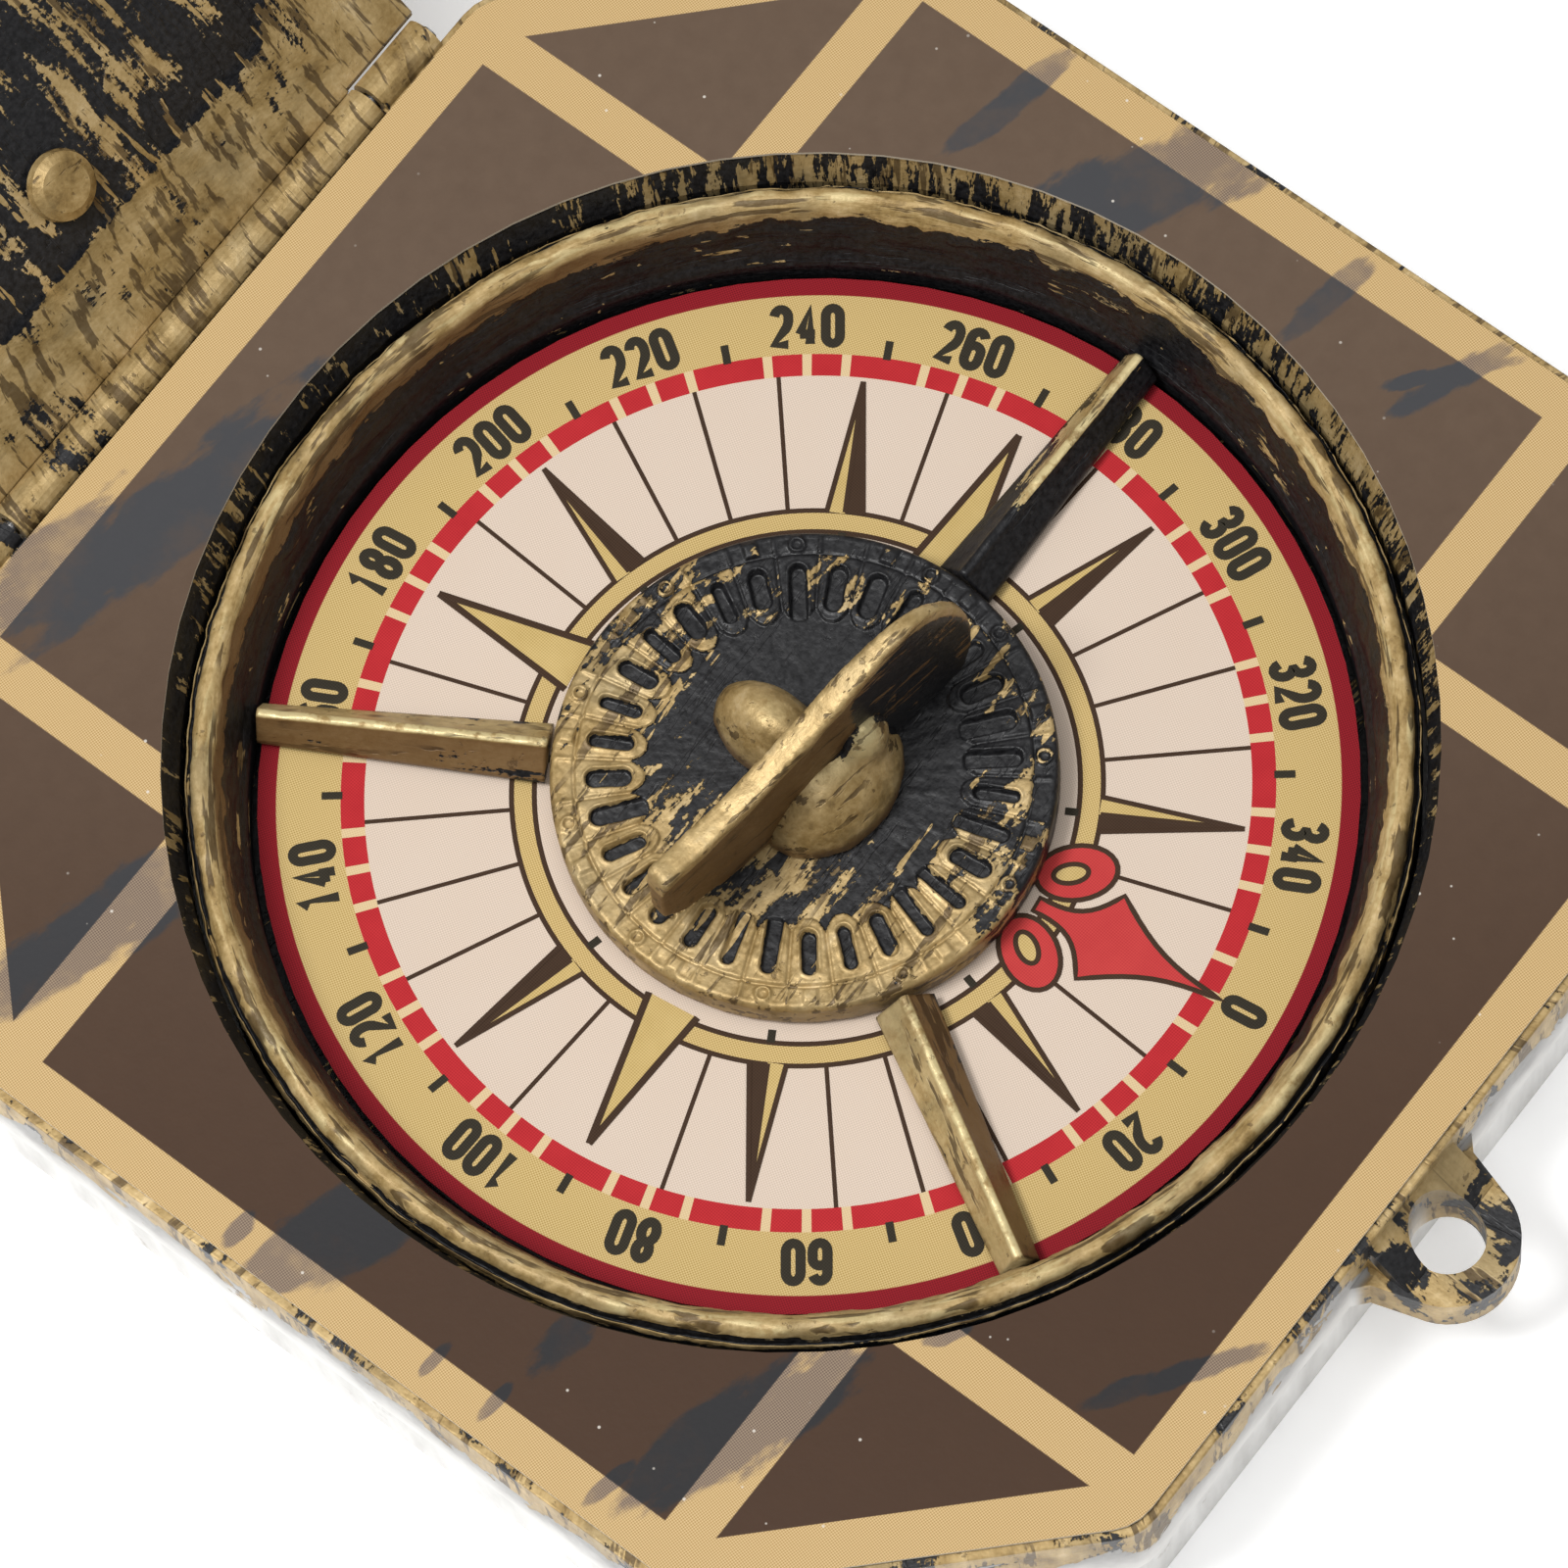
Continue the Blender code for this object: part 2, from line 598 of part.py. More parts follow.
def make_lid_shell(materials):
    """The lid, shut: an octagonal cover with notched rear corners and one long hinge knuckle."""
    top = LID_Z + LID_DEPTH + LID_TOP_THICKNESS
    shell = slab("lid_shell", [case_outline(CASE_HALF, CASE_CORNER)], LID_Z, top)
    bevel(shell, 0.0006)
    knuckle = cross_rod("lid_knuckle", KNUCKLE_R, 2 * LID_KNUCKLE_HALF, (0, HINGE_Y, HINGE_Z))
    join(shell, knuckle, *make_lid_webs())
    cut(shell, lid_cavity())
    for side in (-1, 1):
        centre = (side * (LID_TONGUE_HALF + 0.01), CASE_HALF - LID_NOTCH_DEPTH + 0.01, LID_Z)
        cut(shell, box("rear_notch", (0.02, 0.02, 0.05), centre))
    clearance = KNUCKLE_R + GAP
    length = HINGE_HALF_WIDTH - LID_KNUCKLE_HALF + 0.0009
    for side in (-1, 1):
        middle = (side * (LID_KNUCKLE_HALF + length / 2), HINGE_Y, HINGE_Z)
        cut(shell, cross_rod("knuckle_clearance", clearance, length, middle))
    cut(shell, cross_rod("lid_pin_hole", HINGE_PIN_R + 0.0002, 0.06, (0, HINGE_Y, HINGE_Z)))
    return add_part(shell, materials["bronze"])


def make_lid_stud(materials):
    """A low round stud on the lid's inner floor, near the hinge, with its shank in the lid."""
    floor_z = LID_Z + LID_DEPTH
    hole = rod("stud_hole", 0.0012, floor_z - 0.001, floor_z + 0.0014, STUD_PLACE, 24)
    cut(bpy.data.objects["lid_shell"], hole)
    profile = [
        (0, 0.0011), (0.0009, 0.0011), (0.0009, -GAP), (0.0020, -GAP), (0.0019, -0.0008),
        (0.0014, -0.0011), (0, -0.0012),
    ]
    return add_part(turned("lid_stud", profile, (*STUD_PLACE, floor_z), 32), materials["bronze"])


def make_hinge_pin(materials):
    pin = cross_rod("hinge_pin", HINGE_PIN_R, 2 * HINGE_HALF_WIDTH + 0.0006, (0, HINGE_Y, HINGE_Z))
    return add_part(pin, materials["steel"])


def make_case_screws(materials):
    """Four self-tapping screws with a cross recess, heads down in the lower case."""
    profile = [
        (0, 0.0098), (0.0004, 0.0094), (SCREW_SHANK_R, 0.0080), (SCREW_SHANK_R, 0.0027),
        (SCREW_HEAD_R, 0.0027), (SCREW_HEAD_R, 0.0017), (0.0019, 0.0012), (0, 0.0010),
    ]
    first = turned("screw_pattern", profile, steps=32)
    for turn in (0.0, math.pi / 2):
        cut(first, box("cross_recess", (0.0026, 0.0006, 0.0018), (0, 0, 0.0010), (0, 0, turn)))
    bpy.context.view_layer.update()
    mesh = mesh_copy(first)
    add_helper(first)
    for number, place in enumerate(screw_places(), 1):
        screw = bpy.data.objects.new(f"case_screw_{number}", mesh)
        screw.location = (*place, 0)
        bpy.context.scene.collection.objects.link(screw)
        add_part(screw, materials["steel"])


def hang_on_axis(name, location, objects):
    """Parents the pieces to an empty on their joint's axis, leaving them where they are."""
    axis = bpy.data.objects.new(name, None)
    axis.location = location
    bpy.data.collections[OBJECT_NAME].objects.link(axis)
    bpy.context.view_layer.update()
    for obj in objects:
        obj.parent = axis
        obj.matrix_parent_inverse = axis.matrix_world.inverted()
    return axis


def make_lid(materials):
    """Builds the lid shut, then swings it open with everything that cuts or completes it."""
    before = set(bpy.data.objects)
    make_lid_shell(materials)
    make_lid_stud(materials)
    made = [obj for obj in bpy.data.objects if obj not in before]
    axis = hang_on_axis("lid_axis", (0, HINGE_Y, HINGE_Z), made)
    axis.rotation_euler = (-LID_OPEN, 0, 0)


def main():
    clear_scene()
    new_collection(OBJECT_NAME)
    new_collection("cutters")
    materials = make_materials()
    make_lower_case(materials)
    make_upper_case(materials)
    make_deck_sheet(materials)
    make_bezel_ring(materials)
    make_well_pan(materials)
    make_pivot_pin(materials)
    make_card(materials)
    make_hour_disc(materials)
    make_arms(materials)
    make_gnomon_fin(materials)
    make_gnomon_bosses(materials)
    make_lid(materials)
    make_hinge_pin(materials)
    make_case_screws(materials)
    card_names = ("card_face", "card_disc", "card_hub", "magnet_bar_left", "magnet_bar_right")
    hang_on_axis("card_axis", (0, 0, CARD_Z), [bpy.data.objects[name] for name in card_names])


main()
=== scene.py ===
"""The looks of the octagonal pocket compass with a sundial: dry-brushed bronze over black,
a printed deck, a printed compass card with inked marks, and the cast sundial over it.

Metres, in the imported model's own frame: +Z up, the front towards -Y, the lid at the rear.
"""

import json
import math

import bmesh
import bpy
import numpy as np
from mathutils import Matrix, Vector, noise


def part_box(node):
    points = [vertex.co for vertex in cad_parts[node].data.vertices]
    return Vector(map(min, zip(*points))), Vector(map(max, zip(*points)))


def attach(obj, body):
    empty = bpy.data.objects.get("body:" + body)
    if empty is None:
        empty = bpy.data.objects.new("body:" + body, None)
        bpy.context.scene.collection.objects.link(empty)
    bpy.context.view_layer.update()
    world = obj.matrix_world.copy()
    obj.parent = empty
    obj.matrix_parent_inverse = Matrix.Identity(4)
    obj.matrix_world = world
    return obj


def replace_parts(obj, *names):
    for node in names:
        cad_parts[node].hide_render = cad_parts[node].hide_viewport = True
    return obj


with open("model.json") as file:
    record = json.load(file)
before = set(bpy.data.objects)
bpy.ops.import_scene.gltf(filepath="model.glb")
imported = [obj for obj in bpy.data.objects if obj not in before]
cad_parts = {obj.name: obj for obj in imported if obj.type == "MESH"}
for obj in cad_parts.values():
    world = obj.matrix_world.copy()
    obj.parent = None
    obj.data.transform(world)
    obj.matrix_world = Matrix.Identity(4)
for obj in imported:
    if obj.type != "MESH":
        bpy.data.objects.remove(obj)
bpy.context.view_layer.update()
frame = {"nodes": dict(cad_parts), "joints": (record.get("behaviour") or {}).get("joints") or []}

MM = 0.001
NODES = frame["nodes"]

# Camera.
CAMERA_PLACE = Vector((-0.11101, -0.12187, 0.43828))
CAMERA_AIM = Vector((-0.00066, 0.00100, 0.0060))
CAMERA_ROLL = math.radians(10.94)
CAMERA_LENS = 203.25
SENSOR_WIDTH = 36.0

# Levels and radii that come from the frame.
CARD_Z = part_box("card_face")[1].z
DISC_LOW, DISC_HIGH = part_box("hour_disc")
DISC_R = DISC_HIGH.x
DISC_TOP = DISC_HIGH.z

# The lid's hinge axis, along X.
HINGE_Y, HINGE_Z = frame["joints"][0]["pos_m"][1:]

# Upper case: the well's wall, and the y where the lug begins.
WELL_R = 0.0336
LUG_START_Y = -0.04015

# Printed deck.
BORDER_INNER = 0.0370
BAND_INNER = 0.0203
BAND_OUTER = 0.0229
CUT_CORNER_INNER = 0.0591
DOT_PITCH = 0.000175

# Printed card. Its zero points 7.76 degrees to the right of the front, and its degrees run
# clockwise seen from above.
CARD_ZERO = math.radians(-90.0 + 7.76)
FIELD_R = 0.02325
DASH_OUTER_R = 0.0245
SCALE_OUTER_R = 0.0279
RING_INNER_LINE_R = 0.0143
RING_OUTER_LINE_R = 0.0155
NUMERAL_R = 0.02508
NUMERAL_HEIGHT = 0.00204
NUMERAL_WIDTH = 0.00076
NUMERAL_GAP = 0.00062
NUMERAL_STROKE = 0.00053
TICK_WIDTH = 0.00042
RAY_WIDTH = 0.00023
OUTLINE_WIDTH = 0.00027
BIG_OUTLINE_WIDTH = 0.00036
INK_THICKNESS = 0.00001

# Hour disc.
SLOT_COUNT = 32
SLOT_INNER_R = 0.0090
SLOT_OUTER_R = 0.0114
SLOT_HALF_WIDTH = 0.00042
PETAL_INNER_R = 0.0083
BAND_R = 0.0120

# Gnomon, as in the model.
FIN_CENTRE = Vector((0.0, -0.0016, 0.0))
FIN_ANGLE = math.radians(-9.5)
FIN_ALONG = Vector((math.cos(FIN_ANGLE), math.sin(FIN_ANGLE), 0.0))
FIN_SIDE = Vector((-FIN_ALONG.y, FIN_ALONG.x, 0.0))
FIN_THICKNESS = 0.0010
FIN_EDGE_HEIGHT = 0.0088

# Arms.
ARM_OUTER_R = 0.0290
ARM_INNER_WIDTH = 0.0033
ARM_OUTER_WIDTH = 0.00218
ARM_RIDGE_HALF = 0.00030
# Each arm's direction in degrees, its share of gold, and the sign of its dark side, whose gold is painted
# brown as shade.
ARMS = {"arm_right": (0.0, 0.45, -1.0), "arm_rear": (120.0, 0.80, 1.0), "arm_front": (240.0, 0.85, 1.0)}


def srgb(red, green, blue):
    """A colour given as display values from 0 to 255, as linear values with alpha."""
    def linear(value):
        value = value / 255.0
        return value / 12.92 if value <= 0.04045 else ((value + 0.055) / 1.055) ** 2.4
    return (linear(red), linear(green), linear(blue), 1.0)


def smooth(value):
    """Eases from 0 to 1 as value goes from 0 to 1, and stays flat outside."""
    value = min(max(value, 0.0), 1.0)
    return value * value * (3.0 - 2.0 * value)


# ---------------------------------------------------------------- shader building


class Shader:
    """One material being built. Its methods add nodes and return their output."""

    def __init__(self, name, roughness=0.5, metallic=0.0, specular=0.5):
        self.material = bpy.data.materials.new(name)
        self.material.use_nodes = True
        self.tree = self.material.node_tree
        self.surface = self.tree.nodes["Principled BSDF"]
        self.surface.inputs["Roughness"].default_value = roughness
        self.surface.inputs["Metallic"].default_value = metallic
        self.surface.inputs["Specular IOR Level"].default_value = specular
        self.point = self.add("ShaderNodeTexCoord").outputs["Object"]
        split = self.add("ShaderNodeSeparateXYZ", self.point)
        self.x, self.y, self.z = split.outputs

    def add(self, kind, *values, **settings):
        node = self.tree.nodes.new(kind)
        for name, value in settings.items():
            setattr(node, name, value)
        for socket, value in zip(node.inputs, values):
            self.feed(socket, value)
        return node

    def feed(self, socket, value):
        if isinstance(value, bpy.types.NodeSocket):
            self.tree.links.new(value, socket)
        elif value is not None:
            socket.default_value = value

    def math(self, operation, first, second=None):
        return self.add("ShaderNodeMath", first, second, operation=operation).outputs[0]

    def combine(self, x, y, z):
        return self.add("ShaderNodeCombineXYZ", x, y, z).outputs[0]

    def plus(self, first, *others):
        for other in others:
            first = self.math("ADD", first, other)
        return first

    def times(self, first, second):
        return self.math("MULTIPLY", first, second)

    def total(self, *parts):
        """The sum of its parts. A part that is a pair counts as the product of its two values."""
        return self.plus(*[self.times(*part) if isinstance(part, tuple) else part for part in parts])

    def noise(self, point, scale, detail=3.0, roughness=0.55, distortion=0.0):
        node = self.add("ShaderNodeTexNoise")
        self.feed(node.inputs["Vector"], point)
        node.inputs["Scale"].default_value = scale
        node.inputs["Detail"].default_value = detail
        node.inputs["Roughness"].default_value = roughness
        node.inputs["Distortion"].default_value = distortion
        return node.outputs["Fac"]

    def grain(self, scale, *settings):
        """Noise in the object's own space."""
        return self.noise(self.point, scale, *settings)

    def ease(self, value, low, high, start=0.0, end=1.0):
        """Runs smoothly from start to end as value goes from low to high."""
        return self.add("ShaderNodeMapRange", value, low, high, start, end,
                        interpolation_type="SMOOTHSTEP").outputs[0]

    def within(self, value, low, high, soft):
        """1 between low and high, and 0 outside, with soft edges."""
        rise = self.ease(value, low - soft, low + soft)
        fall = self.ease(value, high - soft, high + soft, 1.0, 0.0)
        return self.times(rise, fall)

    def most(self, *values):
        result = values[0]
        for value in values[1:]:
            result = self.math("MAXIMUM", result, value)
        return result

    def mix(self, factor, first, second):
        node = self.add("ShaderNodeMix", data_type="RGBA")
        self.feed(node.inputs[0], factor)
        self.feed(node.inputs[6], first)
        self.feed(node.inputs[7], second)
        return node.outputs[2]

    def ramp(self, factor, *stops):
        """A colour that follows factor through (place, colour) stops."""
        node = self.add("ShaderNodeValToRGB", factor)
        elements = node.color_ramp.elements
        while len(elements) < len(stops):
            elements.new(1.0)
        for element, (place, colour) in zip(elements, stops):
            element.position = place
            element.color = colour
        return node.outputs["Color"]

    def along(self, direction, stretch):
        """Object space squeezed along one direction, so that noise in it draws streaks that way."""
        direction = Vector(direction).normalized()
        side = direction.orthogonal().normalized()
        other = direction.cross(side)
        parts = []
        for axis, factor in ((direction, 1.0 / stretch), (side, 1.0), (other, 1.0)):
            dot = self.add("ShaderNodeVectorMath", self.point, tuple(axis), operation="DOT_PRODUCT")
            parts.append(self.times(dot.outputs["Value"], factor))
        return self.combine(*parts)

    def around(self, radius, stretch):
        """Polar space for streaks that point at the Z axis: fine round it, stretched in and up."""
        flat = self.combine(self.x, self.y, 0.0)
        unit = self.add("ShaderNodeVectorMath", flat, operation="NORMALIZE").outputs["Vector"]
        split = self.add("ShaderNodeSeparateXYZ", unit)
        x, y = [self.times(value, radius) for value in split.outputs[:2]]
        return self.combine(x, y, self.times(self.plus(self.radius(), self.z), 1.0 / stretch))

    def radius(self):
        return self.math("SQRT", self.total((self.x, self.x), (self.y, self.y)))

    def attribute(self, name):
        return self.add("ShaderNodeAttribute", attribute_name=name).outputs["Fac"]

    def bump(self, height, distance, strength):
        node = self.add("ShaderNodeBump")
        node.inputs["Strength"].default_value = strength
        node.inputs["Distance"].default_value = distance
        self.feed(node.inputs["Height"], height)
        return node.outputs["Normal"]

    def finish(self, colour, roughness, normal, metallic=None):
        """Joins the results to the surface, and returns the material. None leaves a value as it is."""
        for name, value in (("Base Color", colour), ("Roughness", roughness),
                            ("Normal", normal), ("Metallic", metallic)):
            self.feed(self.surface.inputs[name], value)
        return self.material


# ---------------------------------------------------------------- materials

GOLD_DARK = srgb(106, 84, 48)
GOLD_MID = srgb(150, 125, 79)
GOLD_LIGHT = srgb(178, 153, 106)
GOLD_BRIGHT = srgb(206, 184, 142)
GOLD_OLIVE = srgb(128, 116, 88)
GOLD_GRIME = srgb(58, 42, 26)
# Painted light on the gold: brown for painted shade, pale for painted highlights.
GOLD_SHADE = srgb(104, 76, 46)
GOLD_HIGHLIGHT = srgb(206, 190, 142)
PAINT_BLACK = srgb(15, 15, 17)
PAINT_GREY = srgb(36, 36, 38)


def scratches(shader, space, scale, seed, thin=0.60, low=0.46, high=0.56):
    """Long thin marks in patches: 1 on each mark, 0 between them."""
    moved = shader.add("ShaderNodeVectorMath", space, (seed, seed, seed)).outputs[0]
    mark = shader.ease(shader.noise(moved, scale, 3.0, 0.6), thin, thin + 0.05)
    return shader.times(mark, shader.ease(shader.grain(170.0, 3.0), low, high))


def gold_and_black(shader, level, streaks, fine, space, dirt=0.0):
    """Joins gold and black paint by a level: gold where it is above one half. Marks follow space.

    A number stored on the mesh paints light: from 0 down to -1 it turns gold brown as painted shade, and
    from 0 up to 1 it turns gold pale, in ragged patches, as a painted highlight. dirt from 0 to 1 adds dark
    marks."""
    level = shader.total(level, (scratches(shader, space, 1300.0, 0.3, 0.58), 0.24))
    mask = shader.ease(level, 0.49, 0.512)
    tone = shader.total((shader.grain(420.0, 4.0), 0.45), (streaks, 0.35), (fine, 0.2))
    gold = shader.ramp(tone, (0.34, GOLD_DARK), (0.45, GOLD_MID), (0.56, GOLD_LIGHT), (0.70, GOLD_BRIGHT))
    olive = shader.ease(shader.grain(150.0, 4.0), 0.50, 0.68, 0.0, 0.45)
    gold = shader.mix(olive, gold, GOLD_OLIVE)
    # Painted shade turns gold brown, and painted highlights turn it pale in ragged patches.
    wear = shader.attribute("wear")
    gold = shader.mix(shader.ease(wear, -1.0, 0.0, 0.85, 0.0), gold, GOLD_SHADE)
    ragged = shader.ease(shader.grain(900.0, 4.0, 0.65), 0.36, 0.52)
    painted_highlight = shader.times(shader.ease(wear, 0.0, 1.0), ragged)
    gold = shader.mix(painted_highlight, gold, GOLD_HIGHLIGHT)
    marks = scratches(shader, space, 1500.0, 0.7, thin=0.585 - 0.045 * dirt,
                      low=0.40 - 0.1 * dirt, high=0.52 - 0.1 * dirt)
    specks = shader.ease(shader.grain(1300.0, 4.0, 0.65), 0.63, 0.70, 0.0, 0.7)
    grime = shader.most(marks, specks)
    gold = shader.mix(shader.times(grime, 0.75), gold, GOLD_GRIME)
    black = shader.ramp(fine, (0.35, PAINT_BLACK), (0.7, PAINT_GREY))
    height = shader.total((mask, 0.5), (streaks, 0.35), (fine, 0.3), (grime, -0.3))
    rough = shader.total(0.26, (fine, 0.3), (mask, 0.03), (painted_highlight, -0.08))
    return mask, shader.mix(mask, black, gold), rough, height


def aged_paint(name, coverage, patch=260.0, streak_space=None, streak_scale=900.0, streak_share=0.5,
               gild_share=0.0, tilt=None, scratch_space=lambda s: s.along((1.0, -0.15, 0.0), 8.0),
               specular=0.35, dirt=0.0, metal=0.35):
    """Bronze paint dry-brushed over black. coverage is the share of gold, from 0 to 1.

    streak_space and scratch_space are functions of the shader that give the squeezed space of the
    brush streaks and of the long scratches; gild_share is how much the mesh's own gild attribute
    decides; tilt is a function of the shader that gives an extra level."""
    shader = Shader(name, specular=specular)
    space = streak_space(shader) if streak_space else shader.point
    streaks = shader.noise(space, streak_scale, 4.0, 0.65)
    fine = shader.grain(3200.0, 3.0, 0.6)
    level = shader.total((shader.grain(patch, 5.0, 0.62, 0.6), 1.0 - streak_share), (streaks, streak_share),
                         (coverage - 0.5) * 0.45 - 0.08, (fine, 0.16))
    if gild_share:
        raised = shader.plus(shader.attribute("gild"), -0.5)
        level = shader.total(level, (raised, gild_share))
    if tilt:
        level = shader.plus(level, tilt(shader))
    mask, colour, rough, height = gold_and_black(shader, level, streaks, fine, scratch_space(shader), dirt)
    return shader.finish(colour, rough, shader.bump(height, 0.00012, 0.8), shader.times(mask, metal))


def halftone(shader, pitch, turn):
    """The height of a turned grid of round dots, from 0 to 1."""
    cos, sin = math.cos(turn), math.sin(turn)
    across = shader.total((shader.x, cos), (shader.y, sin))
    down = shader.total((shader.x, -sin), (shader.y, cos))
    waves = [shader.math("SINE", shader.times(value, 2.0 * math.pi / pitch)) for value in (across, down)]
    return shader.total((shader.times(*waves), 0.5), 0.5)


def smudge(shader, centre, angle, half_length, half_width, warp):
    """One brushed smear: 1 along a short stroke, fading at its ragged rim."""
    cos, sin = math.cos(math.radians(angle)), math.sin(math.radians(angle))
    dx = shader.plus(shader.x, -centre[0] * MM)
    dy = shader.plus(shader.y, -centre[1] * MM)
    along = shader.times(shader.total((dx, cos), (dy, sin)), 1.0 / (half_length * MM))
    across = shader.times(shader.total((dx, -sin), (dy, cos)), 1.0 / (half_width * MM))
    reach = shader.total((along, along), (across, across), warp)
    return shader.ease(reach, 0.60, 1.10, 1.0, 0.0)


# Smears of dark blue-grey over the print: centre in millimetres, direction in degrees,
# half length and half width in millimetres.
SMUDGES = (
    ((35.2, 12.9), -11, 4.4, 0.9), ((36.1, 4.0), -30, 7.6, 2.6), ((35.6, -7.2), -10, 3.6, 0.9),
    ((36.0, -15.3), -21, 3.8, 0.8), ((36.2, -15.0), -42, 4.2, 0.5), ((-9.0, 34.0), -11, 10.9, 2.3),
    ((-16.0, 37.5), -5, 6.0, 2.0), ((-29.8, 22.7), -16, 7.0, 2.3), ((-35.0, 2.2), -29, 5.3, 2.5),
    ((-38.0, 6.5), -5, 1.4, 0.6), ((-37.2, -5.8), -5, 1.3, 0.4), ((-37.2, -9.6), -6, 1.3, 0.4),
    ((-32.8, -10.5), -10, 2.6, 1.0), ((-30.4, -20.5), -19, 7.3, 2.1), ((-37.3, -16.8), -12, 1.9, 0.5),
    ((-21.0, -25.6), -32, 1.4, 0.5), ((-15.4, -36.5), -36, 5.1, 0.7),
)


def printed_deck():
    """Tan bands on brown, screened in dots, with smears and dust on top. Its cut edges are pale. The brown
    and the smears' grey are painted lighter towards the right rear, a painted sheen.
    """
    shader = Shader("printed_deck", specular=0.15)
    far_x = shader.math("ABSOLUTE", shader.x)
    far_y = shader.math("ABSOLUTE", shader.y)
    edge = 0.00004
    bands = [shader.within(value, BAND_INNER, BAND_OUTER, edge) for value in (far_x, far_y)]
    borders = [shader.ease(value, BORDER_INNER - edge, BORDER_INNER + edge) for value in (far_x, far_y)]
    corner = shader.ease(shader.plus(far_x, far_y), CUT_CORNER_INNER - edge, CUT_CORNER_INNER + edge)
    tan_mask = shader.most(*bands, *borders, corner)
    dots = halftone(shader, DOT_PITCH, math.radians(28))
    tan = shader.mix(dots, srgb(146, 114, 62), srgb(214, 188, 142))
    tan = shader.mix(shader.times(shader.grain(60.0, 2.0), 0.3), tan, srgb(178, 144, 90))
    # Painted sheen: the brown and the smears' grey turn lighter towards the right rear.
    painted_sheen_toward_top = shader.total((shader.x, 0.8), (shader.y, 0.6))
    brown = shader.mix(shader.ease(painted_sheen_toward_top, -0.03, 0.03), srgb(68, 48, 34), srgb(97, 80, 66))
    brown = shader.mix(shader.times(shader.grain(900.0, 3.0), 0.3), brown, srgb(56, 40, 30))
    colour = shader.mix(tan_mask, brown, tan)
    space = shader.along((0.97, -0.24, 0.0), 2.6)
    warp = shader.times(shader.plus(shader.noise(space, 480.0, 5.0, 0.6), -0.5), 3.4)
    smear = shader.most(*[smudge(shader, *row, warp) for row in SMUDGES])
    blotch = shader.ease(shader.grain(210.0, 4.0, 0.6), 0.34, 0.54, 0.66, 0.98)
    grey = shader.mix(shader.ease(painted_sheen_toward_top, -0.035, 0.02), srgb(40, 40, 42), srgb(62, 63, 66))
    grey = shader.mix(tan_mask, grey, shader.mix(dots, srgb(84, 68, 62), srgb(150, 132, 112)))
    colour = shader.mix(shader.times(smear, blotch), colour, grey)
    specks = shader.add("ShaderNodeTexVoronoi", shader.point)
    specks.inputs["Scale"].default_value = 620.0
    dust = shader.times(shader.ease(specks.outputs["Distance"], 0.035, 0.065, 1.0, 0.0),
                        shader.ease(shader.grain(130.0, 2.0), 0.46, 0.56))
    colour = shader.mix(shader.times(dust, 0.7), colour, srgb(214, 208, 198))
    normal = shader.add("ShaderNodeSeparateXYZ", shader.add("ShaderNodeNewGeometry").outputs["True Normal"])
    colour = shader.mix(shader.ease(normal.outputs[2], 0.4, 0.6, 1.0, 0.0), colour, srgb(206, 196, 178))
    rough = shader.total(0.36, (shader.grain(1500.0, 3.0), 0.22))
    height = shader.total(shader.grain(2600.0, 2.0), (dust, 0.8))
    return shader.finish(colour, rough, shader.bump(height, 0.00002, 0.35))


def ink(name, dark, light, roughness=0.5):
    """Printed colour with a fine dot screen."""
    shader = Shader(name, specular=0.05)
    dots = halftone(shader, DOT_PITCH * 1.02, math.radians(41))
    drift = shader.grain(500.0, 3.0)
    factor = shader.total((dots, 0.65), (drift, 0.35))
    rough = shader.total(roughness - 0.06, (drift, 0.14))
    return shader.finish(shader.mix(factor, dark, light), rough,
                         shader.bump(shader.grain(3000.0, 2.0), 0.00001, 0.3))


CARD_CREAM = (srgb(184, 168, 152), srgb(218, 202, 188))
CARD_GOLD = (srgb(150, 122, 60), srgb(214, 190, 134))
CARD_RED = (srgb(98, 16, 24), srgb(150, 36, 44))


def printed_card():
    """The card's printed ground: cream, the gold ring, the dash band, the gold scale and the red rim."""
    shader = Shader("printed_card", specular=0.05)
    radius = shader.radius()
    soft = 0.00003

    def beyond(edge, inside, outside):
        return shader.mix(shader.ease(radius, edge - soft, edge + soft), inside, outside)

    dots = halftone(shader, DOT_PITCH, math.radians(13))
    cream, gold, red = [shader.mix(dots, *pair) for pair in (CARD_CREAM, CARD_GOLD, CARD_RED)]
    colour = shader.mix(shader.within(radius, RING_INNER_LINE_R, RING_OUTER_LINE_R, soft), cream, gold)
    colour = beyond(FIELD_R, colour, shader.mix(0.5, gold, srgb(222, 200, 168)))
    colour = beyond(DASH_OUTER_R, colour, gold)
    colour = shader.mix(shader.times(shader.grain(160.0, 4.0), 0.16), colour, srgb(190, 160, 128))
    colour = beyond(SCALE_OUTER_R, colour, red)
    rough = shader.total(0.42, (shader.grain(1800.0, 3.0), 0.18))
    return shader.finish(colour, rough, shader.bump(shader.grain(2400.0, 3.0), 0.00002, 0.3))


